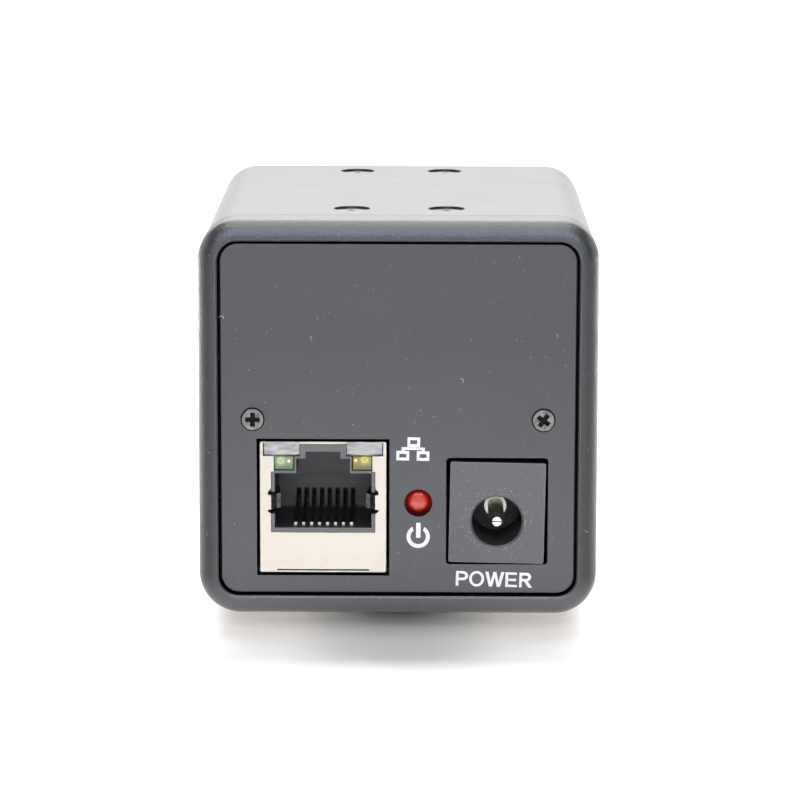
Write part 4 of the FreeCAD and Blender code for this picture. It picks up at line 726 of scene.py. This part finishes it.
dust_mesh.from_pydata(corners, [], faces)
dust_mesh.materials.append(dust_grey)
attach(placed("rear_dust", dust_mesh), "housing")


# Floor, light and camera

FLOOR_HALF = 4.0
FLOOR_GAP = 0.05 * MM


def satin_sheet(name):
    """White satin acrylic sheet: it mirrors what stands on it softly at a low angle. Far out it is lit from
    below, so that it stays pale behind the object from every side."""
    material, tree, place = blank_finish(name)
    shade = mixed(tree, noise(tree, place, grain=25 * MM, detail=2.0), linear("#fafafa"), linear("#f6f6f6"))
    away = vector_math(tree, "LENGTH", place)
    close_finish(tree, {"Base Color": shade, "Roughness": 0.3, "IOR": 1.49, "Emission Color": linear(WHITE),
                        "Emission Strength": ranged(tree, away, start=0.5, end=0.8, high=0.75)})
    return material


floor_mesh = bpy.data.meshes.new("table_sheet")
floor_corners = [(x * FLOOR_HALF, y * FLOOR_HALF, 0) for x, y in ((-1, -1), (1, -1), (1, 1), (-1, 1))]
floor_mesh.from_pydata(floor_corners, [], [(0, 1, 2, 3)])
floor_mesh.materials.append(satin_sheet("white satin acrylic sheet"))
floor = placed("table_sheet", floor_mesh)
floor.location.z = cad_box[0].z - FLOOR_GAP


def softbox(name, place, target, width, height, radiance, colour=WHITE, lights="all"):
    """A rectangular softbox that looks at a point and shines evenly. Through a polarising sheet it lights only
    the matt colours, or shows only as a sheen."""
    light = bpy.data.lights.new(name, "AREA")
    light.shape = "RECTANGLE"
    light.size = width
    light.size_y = height
    light.energy = radiance * math.pi * width * height
    light.color = linear(colour)[:3]
    lamp = placed(name, light)
    lamp.location = place
    lamp.rotation_euler = (Vector(target) - Vector(place)).to_track_quat("-Z", "Y").to_euler()
    lamp.visible_camera = False
    lamp.visible_glossy = lights != "matt"
    lamp.visible_diffuse = lights != "sheen"


SIDES = (("left", -1), ("right", 1))
middle = (cad_box[0] + cad_box[1]) / 2
softbox("overhead_key", place=(0, 0.118, 0.5), target=(0, 0.118, 0), width=0.6, height=0.075, radiance=17.5,
        lights="matt")
softbox("overhead_softbox", place=(0, 0.08, 0.5), target=(0, 0.08, 0), width=0.6, height=0.26, radiance=5.6,
        lights="sheen")
softbox("back_top_panel", place=(0, 0.5, 0.48), target=middle, width=0.4, height=0.5, radiance=3.5,
        lights="sheen")
for side, sign in SIDES:
    softbox(side + "_panel", place=(sign * 0.7, 0.35, 0.2), target=(0, 0.35, 0.1), width=0.9, height=0.4,
            radiance=1.5)
for side, sign in SIDES:
    softbox(side + "_low_strip", place=(sign * 0.3, 0.28, 0.04), target=(0, 0, 0), width=0.3, height=0.08,
            radiance=125.0, colour="#fffaf4", lights="matt")
softbox("front_low_panel", place=(0, -1.07, 0.27), target=middle, width=0.4, height=0.35, radiance=2.8,
        colour="#fffdfb")
softbox("front_fill", place=(0, -0.82, 0.60), target=middle, width=0.4, height=0.46, radiance=4.6,
        colour="#faf9fb", lights="matt")
softbox("front_softbox", place=(0, -0.82, 0.60), target=middle, width=0.9, height=0.5, radiance=12.0,
        colour="#d3dfff", lights="sheen")
softbox("front_top_softbox", place=(0, -0.325, 0.757), target=middle, width=0.6, height=0.55, radiance=2.8,
        colour="#fffaf5", lights="sheen")
softbox("back_panel", place=(0, 1.5, 0.4), target=middle, width=2.6, height=0.8, radiance=1.5)

# The surround lights the part dimly, but looks white to the camera
SURROUND_LIGHT, SURROUND_SEEN = 0.2, 1.0
world = bpy.data.worlds.new("white studio")
world.use_nodes = True
world.node_tree.nodes.clear()
seen = add(world.node_tree, "ShaderNodeLightPath").outputs["Is Camera Ray"]
sky = add(world.node_tree, "ShaderNodeBackground", {
    "Color": linear(WHITE), "Strength": ranged(world.node_tree, seen, low=SURROUND_LIGHT, high=SURROUND_SEEN)})
add(world.node_tree, "ShaderNodeOutputWorld", {"Surface": sky.outputs["Background"]})
bpy.context.scene.world = world
bpy.context.scene.view_settings.view_transform = "Standard"

IMAGE_SIDE = 800
CAMERA_FOCUS_PIXELS = 3468.1
CAMERA_PLACE = Vector((2.741, -460.689, 110.946)) * MM
CAMERA_PITCH = math.radians(10.6112)
CAMERA_YAW = math.radians(-0.3328)
CAMERA_ROLL = math.radians(0.15008)
lens = bpy.data.cameras.new("rear_view")
lens.sensor_width = 36.0
lens.lens = CAMERA_FOCUS_PIXELS * lens.sensor_width / IMAGE_SIDE
lens.clip_start = 0.01
lens.clip_end = 50.0
camera = placed("rear_view", lens)
camera.matrix_world = (Matrix.Translation(CAMERA_PLACE) @ Matrix.Rotation(-CAMERA_YAW, 4, "Z")
                       @ Matrix.Rotation(math.pi / 2 - CAMERA_PITCH, 4, "X")
                       @ Matrix.Rotation(CAMERA_ROLL, 4, "Z"))
bpy.context.scene.camera = camera
